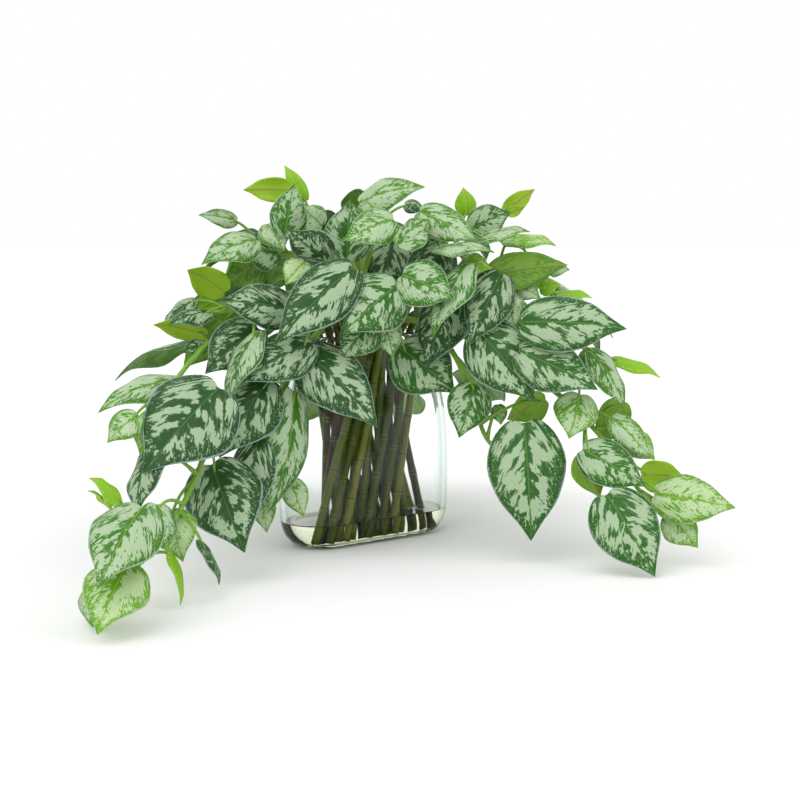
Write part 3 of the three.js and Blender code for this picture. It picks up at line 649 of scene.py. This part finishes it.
def add_tube(bm, centre_at, radius_at, tone, seed, sides, rings):
    """A tube along a curve: a cylinder cut into rings, each moved to its place on the curve."""
    tube = bmesh.new()
    round_uv = tube.loops.layers.uv.new("round")
    draw_uv = tube.loops.layers.uv.new("draw")
    bmesh.ops.create_cone(tube, cap_ends=True, segments=sides, radius1=1, radius2=1, depth=1)
    walls = [edge for edge in tube.edges if abs(edge.verts[0].co.z - edge.verts[1].co.z) > 0.5]
    bmesh.ops.subdivide_edges(tube, edges=walls, cuts=rings - 1, use_grid_fill=True)
    places = {
        corner: (round((corner.co.z + 0.5) * rings), math.atan2(corner.co.y, corner.co.x))
        for corner in tube.verts
    }
    lengths = [0]
    centres = [centre_at(step / rings) for step in range(rings + 1)]
    for start, end in zip(centres, centres[1:]):
        lengths.append(lengths[-1] + (end - start).length)
    frames = []
    side = None
    for step in range(rings + 1):
        ahead = centres[min(step + 1, rings)] - centres[max(step - 1, 0)]
        ahead.normalize()
        side = UP.cross(ahead) if side is None else side - ahead * side.dot(ahead)
        if side.length < LEAST_SIDE:
            side = Vector((1, 0, 0)) - ahead * ahead.x
        side.normalize()
        frames.append((side.copy(), ahead.cross(side)))
    for face in tube.faces:
        turns = [places[loop.vert][1] / math.tau + 0.5 for loop in face.loops]
        crosses_seam = max(turns) - min(turns) > 0.5
        for loop, turn in zip(face.loops, turns):
            turn += 1 if crosses_seam and turn < 0.5 else 0
            loop[round_uv].uv = (turn, lengths[places[loop.vert][0]] * MM)
            loop[draw_uv].uv = (tone, seed)
    for corner, (ring, turn) in places.items():
        first, second = frames[ring]
        radius = radius_at(ring / rings, lengths[ring])
        corner.co = centres[ring] + (first * math.cos(turn) + second * math.sin(turn)) * radius
    mesh = baked("tube", tube)
    bm.from_mesh(mesh)
    bpy.data.meshes.remove(mesh)


def stem_radius(share, length, seed):
    """The stem's radius, with knuckles that stand at places of their own on each stem."""
    from_knuckle = (length + seed * KNUCKLE_PITCH) % KNUCKLE_PITCH
    from_knuckle = min(from_knuckle, KNUCKLE_PITCH - from_knuckle)
    knuckle = KNUCKLE_RISE * math.exp(-((from_knuckle / KNUCKLE_WIDTH) ** 2))
    into_bud = max((share - BUD_START) / (1 - BUD_START), 0)
    tip = math.sqrt(max(1 - into_bud ** 2, BUD_LEAST))
    return mix(STEM_RADIUS, STEM_END_RADIUS, share) * (1 + knuckle) * tip


def grow_plants():
    """Every leafy stem of the frame, with its knots and its settled leaves."""
    plants = []
    for name, (slot, way, leaves) in SHOWN_STEMS.items():
        knots = stem_knots(slot, [placed(point) for point in way])
        plants.append((f"leafy_stem_{name}", knots, shown_leaves(leaves)))
    for number, stem in enumerate(RULED_STEMS, 1):
        knots = stem_knots(stem[0], ruled_way(stem))
        plants.append((f"leafy_stem_rear_{number:02d}", knots, ruled_leaves(stem, knots, number)))
    for order, (node, knots, leaves) in enumerate(plants):
        corners = point_tree([vertex.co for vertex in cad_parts[node].data.vertices])
        shapes = [settled_shape(leaf, corners) for leaf in leaves]
        yield node, order, knots, [shape for shape in shapes if shape]


def make_leaves(node, order, shapes):
    bm = bmesh.new()
    layers = [bm.loops.layers.uv.new(name) for name in ("blade", "vein", "draw")]
    for number, shape in enumerate(shapes):
        add_blade(bm, shape, layers, chance(order * 13 + number * 7 + 1))
    materials = [leaf_material(), underside_material()]
    piece = finish_piece(node.replace("leafy_stem", "leaves"), bm, materials, [node])
    shell = piece.modifiers.new("Blade", "SOLIDIFY")
    shell.thickness = bpy.context.scene.scindapsus_plant.blade
    shell.offset = 0
    shell.material_offset = 1
    shell.material_offset_rim = 1


def make_stem(node, order, knots, shapes):
    bm = bmesh.new()
    last = len(knots) - 1
    seed = chance(order * 3)
    add_tube(
        bm, lambda share: curve_point(knots, share * last),
        lambda share, length: stem_radius(share, length, seed),
        chance(order * 5 + 2), seed, STEM_SIDES, last * STEM_RINGS,
    )
    for number, shape in enumerate(shapes):
        root = curve_point(knots, stalk_root(shape, knots))
        end = blade_point(shape, STALK_JOINT, 0)
        span = (end - root).length
        middle = (
            root.lerp(end, STALK_MIDDLE) + UP * (span * STALK_RISE)
            - shape["along"] * (span * STALK_SWEEP)
        )

        def centre_at(share, root=root, middle=middle, end=end):
            return root.lerp(middle, share).lerp(middle.lerp(end, share), share)

        def radius_at(share, _length):
            sheath = SHEATH_RISE * math.exp(-((share / SHEATH_REACH) ** 2))
            return mix(STALK_RADIUS, STALK_END_RADIUS, share) + sheath

        add_tube(
            bm, centre_at, radius_at, STALK_TONE, chance(number + order), STALK_SIDES, STALK_RINGS
        )
    bmesh.ops.recalc_face_normals(bm, faces=bm.faces)
    finish_piece(node.replace("leafy_", ""), bm, [stem_material()], [node])


# Vase and water


def smooth_stations(stations):
    """The stations with finer steps between them, on a smooth curve."""
    knots = [Vector(station) for station in stations]
    count = (len(knots) - 1) * STATION_STEPS
    return [curve_point(knots, step / STATION_STEPS) for step in range(count + 1)]


def inset(stations, amount):
    return [(height, side + amount, end + amount) for height, side, end in stations]


def inner_stations(gap=0):
    """The inside of the vase up to its mouth, or stations that keep a gap to it."""
    wall = inset(smooth_stations(OUTER_WALL), bpy.context.scene.scindapsus_vase.wall / MM)
    wall = [station for station in wall if station[0] > INNER_WALL_START]
    rounding = smooth_stations(FLOOR_ROUNDING + [wall[0]])[:-1]
    return inset([*rounding, *wall], gap)


def oval_body(bm, stations):
    """Spins a profile round the axis, and moves its halves apart along the vase's length."""
    profile = [(VASE_DEPTH / 2 - side, 0, height) for height, side, _ in stations]
    aparts = [VASE_LENGTH / 2 - end - VASE_DEPTH / 2 + side for _, side, end in stations]
    nearest = point_tree(profile)
    corners = [bm.verts.new(point) for point in profile]
    edges = [bm.edges.new(pair) for pair in zip(corners, corners[1:])]
    bmesh.ops.spin(
        bm, geom=[*corners, *edges], cent=(0, 0, 0), axis=(0, 0, 1), angle=math.tau,
        steps=OVAL_STEPS, use_merge=True,
    )
    bmesh.ops.remove_doubles(bm, verts=bm.verts, dist=OVAL_MERGE)
    for corner in bm.verts:
        x, y, height = corner.co
        _, station, _ = nearest.find((math.hypot(x, y), 0, height))
        if abs(x) > OVAL_MERGE:
            corner.co.x += math.copysign(aparts[station], x)
        corner.co = turned(corner.co, VASE_YAW)
    bmesh.ops.recalc_face_normals(bm, faces=bm.faces)


def make_vase():
    settings = bpy.context.scene.scindapsus_vase
    bm = bmesh.new()
    outer = smooth_stations(OUTER_WALL)
    inner = inner_stations()
    height, side, end = (Vector(outer[-1]) + Vector(inner[-1])) / 2
    top = [(height + RIM_ROUNDING, side, end)]
    rim = [*inset(top, -RIM_ROUNDING), *inset(top, RIM_ROUNDING)]
    stations = [(0, *ON_AXIS), *outer, *rim, *reversed(inner), (FLOOR_HEIGHT, *ON_AXIS)]
    oval_body(bm, stations)
    inner_reach = VASE_DEPTH / 2 - settings.wall / MM / 2
    for face in bm.faces:
        centre = turned(face.calc_center_median(), -VASE_YAW)
        facing = turned(face.normal, -VASE_YAW)
        inward = facing.y * centre.y + facing.x * centre.x < 0
        is_floor = facing.z > FLOOR_SLOPE and centre.z < FLOOR_HEIGHT + FLOOR_REACH
        is_wet = centre.z < settings.water_level / MM and (inward or is_floor)
        if is_wet and abs(centre.y) < inner_reach:
            face.material_index = 1
    glass = settings.glass_colour
    materials = [
        clear_material("Vase glass", GLASS_IOR, glass, settings.edge_colour),
        clear_material("Vase glass against water", GLASS_IOR / WATER_IOR, glass),
    ]
    finish_piece("vase_glass", bm, materials, ["vase"])


def make_water():
    settings = bpy.context.scene.scindapsus_vase
    level = settings.water_level / MM
    bm = bmesh.new()
    wall = inner_stations(gap=WATER_GAP)
    wet = [station for station in wall if station[0] < level - 1]
    _, side, end = next(station for station in wall if station[0] >= level)
    meniscus = [(level + rise, side + inward, end + inward) for rise, inward in MENISCUS]
    stations = [(FLOOR_HEIGHT + WATER_GAP, *ON_AXIS), *wet, *meniscus, (level, *ON_AXIS)]
    oval_body(bm, stations)
    for face in bm.faces:
        is_high = face.calc_center_median().z > level - SURFACE_REACH
        is_surface = is_high and face.normal.z > SURFACE_SLOPE
        face.material_index = 0 if is_surface else 1
    materials = [
        clear_material("Water surface", WATER_IOR, settings.glass_colour),
        clear_material("Water against glass", NO_BEND_IOR, settings.water_colour),
    ]
    finish_piece("water_body", bm, materials, ["water"])


# Materials: how strongly clear pieces bend light, and their tints
GLASS_IOR = 1.5
WATER_IOR = 1.33
NO_BEND_IOR = 1.0
CLEAR_GLARE = (0.3, 0.3, 0.3)
# Olive painted onto the glass foot, fading out above its floor: a painted refraction of the stems
# standing in the vase
STEM_REFRACTION_TINT = (0.8, 0.84, 0.66)
STEM_REFRACTION_FADE = (FLOOR_HEIGHT * MM * 1.4, FLOOR_HEIGHT * MM * 0.9)
EDGE_FADE = (0.2, 0.95)

# Noise: scales of the two coordinates, detail, roughness
WOBBLE = ((150, 150), 3, 0.65)
STREAK = ((12.5, 3), 2, 0.5)
FLAKE = ((29, 5.5), 2, 0.6)
PATCH = ((55, 55), 1, 0.5)
SPOT = ((500, 500), 1, 0.5)
GRAIN = ((900, 900), 2, 0.5)
PUCKER = ((70, 70), 1, 0.5)
BARK = ((9, 45), 3, 0.6)

# Steps between the noise layers of two leaves, of a leaf's halves and of two stems
LEAF_LAYER = 61
HALF_LAYER = 3.7
STEM_LAYER = 50

# Markings of a leaf
MARKINGS = ("Splash", "Dull", "Midrib", "Vein", "Rim and sheen", "Age")
SPLASH_COVER = [
    (0, (0.3,) * 3), (0.2, (0.55,) * 3), (0.4, (0.54,) * 3), (0.7, (0.51,) * 3), (1, (0.49,) * 3),
]
ZONE_RISE = 0.22
ZONE_DROP = 0.2
WOBBLE_BEND = 0.06
WOBBLE_RIM_AND_SHEEN = 0.05
SPOT_SHARE = 0.6
VEIN_PAIRS = 9
MIDRIB_WIDTHS = (0.001, 0.0004)

# Ages of leaves: name, age, green, and silver of the splashes
LEAF_AGES = [
    ("young", YOUNG, (0.22, 0.46, 0.01), (0.46, 0.66, 0.22)),
    ("pale", PALE, (0.075, 0.25, 0.008), (0.42, 0.545, 0.33)),
    ("mid", MID, (0.028, 0.135, 0.007), (0.345, 0.47, 0.28)),
    ("old", OLD, (0.016, 0.072, 0.013), (0.315, 0.43, 0.265)),
]

# Other colours by age, and of the bark by tone and wear
RIB_COLOURS = [(YOUNG, (0.36, 0.6, 0.1)), (OLD, (0.075, 0.2, 0.05))]
# The band along the margin is partly the leaf's own pale edge and partly painted sheen, bluish on
# old leaves
RIM_AND_SHEEN_COLOURS = [(YOUNG, (0.5, 0.68, 0.3)), (OLD, (0.36, 0.48, 0.46))]
# Underside greens by age; the saturated yellow-green of young ones is partly their own colour and
# partly painted light shining through the blade
UNDER_GREENS_AND_BACKLIGHT = [
    (YOUNG, (0.3, 0.52, 0.012)), (PALE, (0.15, 0.37, 0.01)), (MID, (0.06, 0.2, 0.01)),
    (OLD, (0.035, 0.13, 0.016)),
]
UNDER_SPLASHES = [(YOUNG, (0.42, 0.6, 0.05)), (OLD, (0.13, 0.28, 0.05))]
UNDER_RIBS = [(YOUNG, (0.34, 0.3, 0.05)), (OLD, (0.22, 0.36, 0.1))]
BROWN_BARK = (0.04, (0.06, 0.045, 0.01))
DARK_BARK = (0.1, (0.06, 0.09, 0.01))
OLIVE_TONE = 0.6
BARK_STREAK = (0.16, 0.17, 0.03, 1)
KNUCKLE_PALE = (0.28, 0.3, 0.08, 1)
KNUCKLE_SCAR = (0.04, 0.03, 0.01, 1)
FRESH_DARK = (0.13, 0.3, 0.035, 1)
FRESH_LIGHT = (0.24, 0.42, 0.06, 1)
FRESH_FADE = (0.2, 0.3)
STALK_TONE = 2


class Nodes:
    """Adds shader nodes to a tree in few words."""

    def __init__(self, tree):
        self.tree = tree

    def add(self, kind, **settings):
        node = self.tree.nodes.new(kind)
        for key, value in settings.items():
            setattr(node, key, value)
        return node

    def feed(self, socket, value):
        if isinstance(value, bpy.types.NodeSocket):
            self.tree.links.new(value, socket)
        else:
            socket.default_value = value

    def feed_all(self, sockets, values):
        for socket, value in zip(sockets, values):
            self.feed(socket, value)

    def math(self, operation, *values):
        node = self.add("ShaderNodeMath", operation=operation)
        self.feed_all(node.inputs, values)
        return node.outputs[0]

    def times(self, first, second):
        return self.math("MULTIPLY", first, second)

    def plus(self, first, second):
        return self.math("ADD", first, second)

    def smooth(self, value, low, high, floor=0.0, top=1.0):
        node = self.add("ShaderNodeMapRange", interpolation_type="SMOOTHSTEP")
        self.feed_all(node.inputs, (value, low, high, floor, top))
        return node.outputs[0]

    def blend(self, share, first, second, blend_type="MIX"):
        node = self.add("ShaderNodeMix", data_type="RGBA", blend_type=blend_type)
        self.feed_all((node.inputs[0], node.inputs[6], node.inputs[7]), (share, first, second))
        return node.outputs[2]

    def join(self, *parts):
        node = self.add("ShaderNodeCombineXYZ")
        self.feed_all(node.inputs, parts)
        return node.outputs[0]

    def split(self, vector):
        node = self.add("ShaderNodeSeparateXYZ")
        self.feed(node.inputs[0], vector)
        return node.outputs

    def uv(self, name):
        return self.split(self.add("ShaderNodeUVMap", uv_map=name).outputs[0])[:2]

    def noise(self, first, second, layer, grain):
        """Noise over two coordinates, in a layer of its own for each leaf or stem."""
        scales, detail, rough = grain
        place = self.join(self.times(first, scales[0]), self.times(second, scales[1]), layer)
        node = self.add("ShaderNodeTexNoise")
        sockets = [node.inputs[name] for name in ("Vector", "Scale", "Detail", "Roughness")]
        self.feed_all(sockets, (place, 1, detail, rough))
        return node.outputs["Fac"]

    def ramp(self, value, stops):
        node = self.add("ShaderNodeValToRGB")
        self.feed(node.inputs[0], value)
        elements = node.color_ramp.elements
        while len(elements) < len(stops):
            elements.new(1)
        for element, (place, colour) in zip(elements, stops):
            element.position = place
            element.color = (*colour, 1)
        return node.outputs[0]

    def bump(self, shader, height, strength, distance):
        node = self.add("ShaderNodeBump")
        node.inputs["Strength"].default_value = strength
        node.inputs["Distance"].default_value = distance
        self.feed(node.inputs["Height"], height)
        self.feed(shader.inputs["Normal"], node.outputs[0])


def start_material(name, values):
    """A new material with its nodes and its set shader, or the finished one and twice None."""
    material = bpy.data.materials.get(name)
    if material:
        return material, None, None
    material = bpy.data.materials.new(name)
    material.use_nodes = True
    shader = material.node_tree.nodes["Principled BSDF"]
    for socket, value in values.items():
        shader.inputs[socket].default_value = value
    return material, Nodes(material.node_tree), shader


def vein_group():
    """Shared by both faces of a leaf: where the midrib, side veins, margin and splashes lie. The
    band along the margin is partly the leaf's own pale edge and partly painted sheen.
    """
    name = "Leaf markings"
    if name in bpy.data.node_groups:
        return bpy.data.node_groups[name]
    group = bpy.data.node_groups.new(name, "ShaderNodeTree")
    for output in MARKINGS:
        group.interface.new_socket(output, in_out="OUTPUT", socket_type="NodeSocketFloat")
    nodes = Nodes(group)
    along, across = nodes.uv("blade")
    rib, side = nodes.uv("vein")
    age, seed = nodes.uv("draw")
    outward = nodes.math("ABSOLUTE", side)
    half = nodes.times(nodes.math("SIGN", side), HALF_LAYER)
    layer = nodes.plus(nodes.times(seed, LEAF_LAYER), half)

    # Splashes run along the side veins, long near the midrib and broken up near the margin
    wobble = nodes.math("SUBTRACT", nodes.noise(along, across, layer, WOBBLE), 0.5)
    bent = nodes.plus(rib, nodes.times(wobble, WOBBLE_BEND))
    streak = nodes.noise(bent, outward, layer, STREAK)
    flake = nodes.noise(bent, outward, layer, FLAKE)
    broken = nodes.plus(
        nodes.smooth(outward, 0.3, 0.95, 0.25, 0.6), nodes.smooth(age, 0.9, 0.2, 0.0, 0.25)
    )
    mixed = nodes.add("ShaderNodeMix", data_type="FLOAT")
    nodes.feed_all((mixed.inputs[0], mixed.inputs[2], mixed.inputs[3]), (broken, streak, flake))

    # They keep off the midrib, the margin and the tip, and gather in patches
    across_zone = nodes.times(
        nodes.smooth(outward, -0.06, 0.18), nodes.smooth(outward, 1.15, 0.6)
    )
    zone = nodes.times(across_zone, nodes.smooth(rib, 1.02, 0.75))
    lift = nodes.math("SUBTRACT", nodes.times(zone, ZONE_RISE), ZONE_DROP)
    patch = nodes.smooth(nodes.noise(along, across, layer, PATCH), 0.3, 0.7, -0.07, 0.07)
    base = nodes.plus(nodes.plus(mixed.outputs[0], lift), patch)
    cover = nodes.math("SUBTRACT", nodes.ramp(age, SPLASH_COVER), 1.0)
    level = nodes.plus(base, cover)
    dull = nodes.smooth(level, -0.05, -0.03)

    # Small spots are scattered near the margin
    spot = nodes.smooth(nodes.noise(along, across, layer, SPOT), 0.6, 0.66)
    spotted = nodes.times(spot, nodes.smooth(outward, 0.5, 0.75))
    splash = nodes.math(
        "MAXIMUM", nodes.smooth(level, 0.0, 0.018), nodes.times(spotted, SPOT_SHARE)
    )

    midrib = nodes.smooth(nodes.math("ABSOLUTE", across), *MIDRIB_WIDTHS)
    beat = nodes.math("FRACT", nodes.times(rib, VEIN_PAIRS))
    vein = nodes.smooth(
        nodes.math("ABSOLUTE", nodes.math("SUBTRACT", beat, 0.5)), 0.1, 0.02
    )
    # A thin pale band along the margin: partly the leaf's own pale edge, partly painted sheen
    ragged = nodes.plus(outward, nodes.times(wobble, WOBBLE_RIM_AND_SHEEN))
    rim = nodes.smooth(ragged, 0.95, 0.98)
    outputs = nodes.add("NodeGroupOutput")
    nodes.feed_all(outputs.inputs, (splash, dull, midrib, vein, rim, age))
    return group


def leaf_markings(nodes):
    group = nodes.add("ShaderNodeGroup")
    group.node_tree = vein_group()
    return [group.outputs[name] for name in MARKINGS]


def age_stops(kind):
    """The colours that are set for greens or for splashes, from young to old."""
    plant = bpy.context.scene.scindapsus_plant
    return [(age, getattr(plant, f"{name}_{kind}")) for name, age, _, _ in LEAF_AGES]


def leaf_material():
    material, nodes, shader = start_material(
        "Leaf upper face", {"Roughness": 0.42, "Specular IOR Level": 0.25}
    )
    if nodes is None:
        return material
    splash, dull, midrib, vein, rim, age = leaf_markings(nodes)
    along, across = nodes.uv("blade")
    green = nodes.ramp(age, age_stops("green"))
    silver = nodes.ramp(age, age_stops("silver"))
    dulled = nodes.blend(nodes.times(dull, 0.14), green, silver)
    marked = nodes.blend(splash, dulled, silver)
    # The margin band: partly the leaf's own pale edge, partly painted sheen
    edged = nodes.blend(nodes.times(rim, 0.75), marked, nodes.ramp(age, RIM_AND_SHEEN_COLOURS))
    ribbed = nodes.blend(nodes.times(midrib, 0.45), edged, nodes.ramp(age, RIB_COLOURS))
    shade = nodes.smooth(nodes.noise(along, across, 0.0, GRAIN), 0.25, 0.75, 0.86, 1.12)
    grained = nodes.blend(1.0, ribbed, nodes.join(shade, shade, shade), "MULTIPLY")
    nodes.feed(shader.inputs["Base Color"], grained)
    pucker = nodes.times(nodes.noise(along, across, age, PUCKER), 5.0)
    grooves = nodes.plus(nodes.times(vein, -0.5), nodes.times(midrib, -1.0))
    nodes.bump(shader, nodes.plus(grooves, pucker), 0.5, 0.0005)
    return material


def underside_material():
    material, nodes, shader = start_material("Leaf underside", {"Roughness": 0.55})
    if nodes is None:
        return material
    splash, _, midrib, vein, _, age = leaf_markings(nodes)
    # Young undersides are partly painted as lit through the blade
    green = nodes.ramp(age, UNDER_GREENS_AND_BACKLIGHT)
    light = nodes.ramp(age, UNDER_SPLASHES)
    rib = nodes.ramp(age, UNDER_RIBS)
    showing = nodes.blend(nodes.times(splash, 0.55), green, light)
    veined = nodes.blend(nodes.times(vein, 0.28), showing, rib)
    ribbed = nodes.blend(nodes.times(midrib, 0.8), veined, rib)
    nodes.feed(shader.inputs["Base Color"], ribbed)
    nodes.bump(shader, nodes.plus(nodes.times(vein, 0.5), midrib), 0.5, 0.0006)
    return material


def stem_material():
    material, nodes, shader = start_material(
        "Stem bark and stalks", {"Roughness": 0.4, "Specular IOR Level": 0.2}
    )
    if nodes is None:
        return material
    around, length = nodes.uv("round")
    tone, seed = nodes.uv("draw")
    streak = nodes.noise(around, length, nodes.times(seed, STEM_LAYER), BARK)
    plant = bpy.context.scene.scindapsus_plant
    old = nodes.ramp(tone, [
        (0, plant.red_stem), BROWN_BARK, DARK_BARK, (OLIVE_TONE, plant.olive_stem),
        (1, plant.yellow_stem),
    ])

    # Each knuckle is paler just beside the scar that rings it
    pitches = nodes.math("DIVIDE", length, KNUCKLE_PITCH * MM)
    beat = nodes.math("FRACT", nodes.plus(pitches, seed))
    from_middle = nodes.math("ABSOLUTE", nodes.math("SUBTRACT", beat, 0.5))
    scar = nodes.smooth(from_middle, 0.465, 0.49)
    pale = nodes.times(
        nodes.smooth(from_middle, 0.4, 0.46), nodes.smooth(from_middle, 0.5, 0.47)
    )
    streaked = nodes.blend(nodes.smooth(streak, 0.45, 0.8, 0, 0.7), old, BARK_STREAK)
    paled = nodes.blend(nodes.times(pale, 0.3), streaked, KNUCKLE_PALE)
    scarred = nodes.blend(nodes.times(scar, 0.5), paled, KNUCKLE_SCAR)

    fresh = nodes.blend(nodes.smooth(streak, 0.35, 0.7), FRESH_DARK, FRESH_LIGHT)
    is_stalk = nodes.math("GREATER_THAN", tone, STALK_TONE - 0.5)
    is_fresh = nodes.math("MAXIMUM", is_stalk, nodes.smooth(length, *FRESH_FADE))
    nodes.feed(shader.inputs["Base Color"], nodes.blend(is_fresh, scarred, fresh))
    nodes.bump(shader, streak, 0.35, 0.0005)
    return material


def clear_material(name, ior, colour, edge_colour=None):
    """Clear glass or water, with a deeper edge and a foot tinted by a painted refraction of the
    stems, if an edge colour is given.
    """
    material, nodes, shader = start_material(name, {
        "Base Color": (*colour, 1), "Transmission Weight": 1, "Roughness": 0, "IOR": ior,
        "Specular Tint": (*CLEAR_GLARE, 1),
    })
    if nodes and edge_colour:
        facing = nodes.add("ShaderNodeLayerWeight").outputs["Facing"]
        height = nodes.split(nodes.add("ShaderNodeTexCoord").outputs["Object"])[2]
        # Low down the glass takes an olive tint: painted refraction of the stems
        low = nodes.smooth(height, *STEM_REFRACTION_FADE)
        stem_refraction_painted = nodes.blend(low, (*colour, 1), (*STEM_REFRACTION_TINT, 1))
        edged = nodes.blend(nodes.smooth(facing, *EDGE_FADE), stem_refraction_painted, (*edge_colour, 1))
        nodes.feed(shader.inputs["Base Color"], edged)
    return material


# Stage, light and camera


def make_stage():
    scene = bpy.context.scene
    settings = scene.scindapsus_stage
    bm = bmesh.new()
    bmesh.ops.create_grid(bm, x_segments=1, y_segments=1, size=settings.floor_size / 2)
    mesh = baked("floor", bm)
    colour = (*settings.floor_colour, 1)
    material, _, _ = start_material("Pale floor", {"Base Color": colour, "Roughness": 0.9})
    mesh.materials.append(material)
    add_object("floor", mesh)

    world = bpy.data.worlds.new("Studio")
    scene.world = world
    world.use_nodes = True
    back = world.node_tree.nodes["Background"]
    back.inputs["Color"].default_value = (1, 1, 1, 1)
    back.inputs["Strength"].default_value = settings.sky_strength

    for name, pitch, turn, share in LAMPS:
        lamp = bpy.data.lights.new(name, "SUN")
        lamp.angle = LAMP_SPREAD
        lamp.energy = settings.key_strength * share
        light = add_object(name, lamp)
        light.rotation_euler = (math.radians(pitch), 0, math.radians(turn))

    scene.view_settings.view_transform = "Standard"
    lens = bpy.data.cameras.new("camera")
    lens.sensor_width = SENSOR_WIDTH
    lens.lens = SENSOR_WIDTH * VIEW_DISTANCE / PICTURE_PIXELS
    lens.clip_end = CAMERA_REACH
    camera = add_object("camera", lens)
    camera.location = eye_place() * MM
    camera.rotation_euler = (math.pi / 2 - VIEW_PITCH, 0, 0)
    scene.camera = camera


# Add-on


def colour_property(name, description, default):
    return bpy.props.FloatVectorProperty(
        name=name, description=description, default=default, subtype="COLOR", min=0, max=1
    )


def length_property(name, description, default):
    return bpy.props.FloatProperty(
        name=name, description=description, default=default, unit="LENGTH", precision=4
    )


class ScindapsusVase(bpy.types.PropertyGroup):
    """Sizes and colours of the vase and the water."""

    wall: length_property("Wall", "Thickness of the glass wall", GLASS_WALL * MM)
    water_level: length_property(
        "Water level", "Height of the water's surface above the floor", WATER_LEVEL * MM
    )
    glass_colour: colour_property("Glass", "Colour of the glass", (0.985, 1, 0.99))
    edge_colour: colour_property("Glass edge", "Colour of glass seen edge on", (0.33, 0.52, 0.45))
    water_colour: colour_property("Water", "Colour of the water", (0.84, 0.87, 0.68))


class ScindapsusPlant(bpy.types.PropertyGroup):
    """Sizes and colours of the leafy stems, from young leaves to old ones."""

    blade: length_property("Blade", "Thickness of a leaf's blade", 0.7 * MM)
    red_stem: colour_property("Red stem", "Bark of a red-brown stem", (0.05, 0.012, 0.008))
    olive_stem: colour_property("Olive stem", "Bark of an olive stem", (0.13, 0.2, 0.02))
    yellow_stem: colour_property("Yellow stem", "Bark of a yellowish stem", (0.32, 0.3, 0.045))


# Two colours for each age of leaf
for age_name, _, green, silver in LEAF_AGES:
    for kind, part, colour in (("green", "Ground", green), ("silver", "Splashes", silver)):
        ScindapsusPlant.__annotations__[f"{age_name}_{kind}"] = colour_property(
            f"{age_name.capitalize()} {kind}", f"{part} of {age_name} leaves", colour
        )


class ScindapsusStage(bpy.types.PropertyGroup):
    """Sizes and colours of the stage."""

    floor_size: length_property("Floor size", "Side of the pale floor", 16.0)
    floor_colour: colour_property("Floor colour", "Colour of the pale floor", (0.9, 0.9, 0.9))
    sky_strength: bpy.props.FloatProperty(
        name="Sky strength", description="Strength of the soft light all round", default=1.0
    )
    key_strength: bpy.props.FloatProperty(
        name="Key strength", description="Strength of the soft light at the left", default=0.9
    )


class SCINDAPSUS_OT_vase(bpy.types.Operator):
    """Makes the glass vase"""

    bl_idname = "scindapsus.vase"
    bl_label = "Vase"

    def execute(self, context):
        make_vase()
        return {"FINISHED"}


class SCINDAPSUS_OT_water(bpy.types.Operator):
    """Makes the water in the vase"""

    bl_idname = "scindapsus.water"
    bl_label = "Water"

    def execute(self, context):
        make_water()
        return {"FINISHED"}


class SCINDAPSUS_OT_plants(bpy.types.Operator):
    """Makes the leaves, stalks and stem of every leafy stem"""

    bl_idname = "scindapsus.plants"
    bl_label = "Leafy stems"

    def execute(self, context):
        for node, order, knots, shapes in grow_plants():
            make_leaves(node, order, shapes)
            make_stem(node, order, knots, shapes)
        return {"FINISHED"}


class SCINDAPSUS_OT_stage(bpy.types.Operator):
    """Makes the floor, the lights and the camera"""

    bl_idname = "scindapsus.stage"
    bl_label = "Stage"

    def execute(self, context):
        make_stage()
        return {"FINISHED"}


class SCINDAPSUS_PT_panel(bpy.types.Panel):
    """Lists the pieces of the plant"""

    bl_idname = "SCINDAPSUS_PT_panel"
    bl_label = "Scindapsus"
    bl_space_type = "VIEW_3D"
    bl_region_type = "UI"
    bl_category = "Scindapsus"

    def draw(self, context):
        for operator in OPERATORS:
            self.layout.operator(operator.bl_idname)
        for name in SETTINGS:
            settings = getattr(context.scene, name)
            for key in settings.__annotations__:
                self.layout.prop(settings, key)


OPERATORS = (
    SCINDAPSUS_OT_vase, SCINDAPSUS_OT_water, SCINDAPSUS_OT_plants, SCINDAPSUS_OT_stage,
)
SETTINGS = {
    "scindapsus_vase": ScindapsusVase,
    "scindapsus_plant": ScindapsusPlant,
    "scindapsus_stage": ScindapsusStage,
}
CLASSES = (*SETTINGS.values(), *OPERATORS, SCINDAPSUS_PT_panel)


def register():
    for cls in CLASSES:
        bpy.utils.register_class(cls)
    for name, group in SETTINGS.items():
        setattr(bpy.types.Scene, name, bpy.props.PointerProperty(type=group))


def unregister():
    for name in SETTINGS:
        delattr(bpy.types.Scene, name)
    for cls in reversed(CLASSES):
        bpy.utils.unregister_class(cls)


def main():
    register()
    bpy.ops.scindapsus.vase()
    bpy.ops.scindapsus.water()
    bpy.ops.scindapsus.plants()
    bpy.ops.scindapsus.stage()


if __name__ == "__main__":
    main()
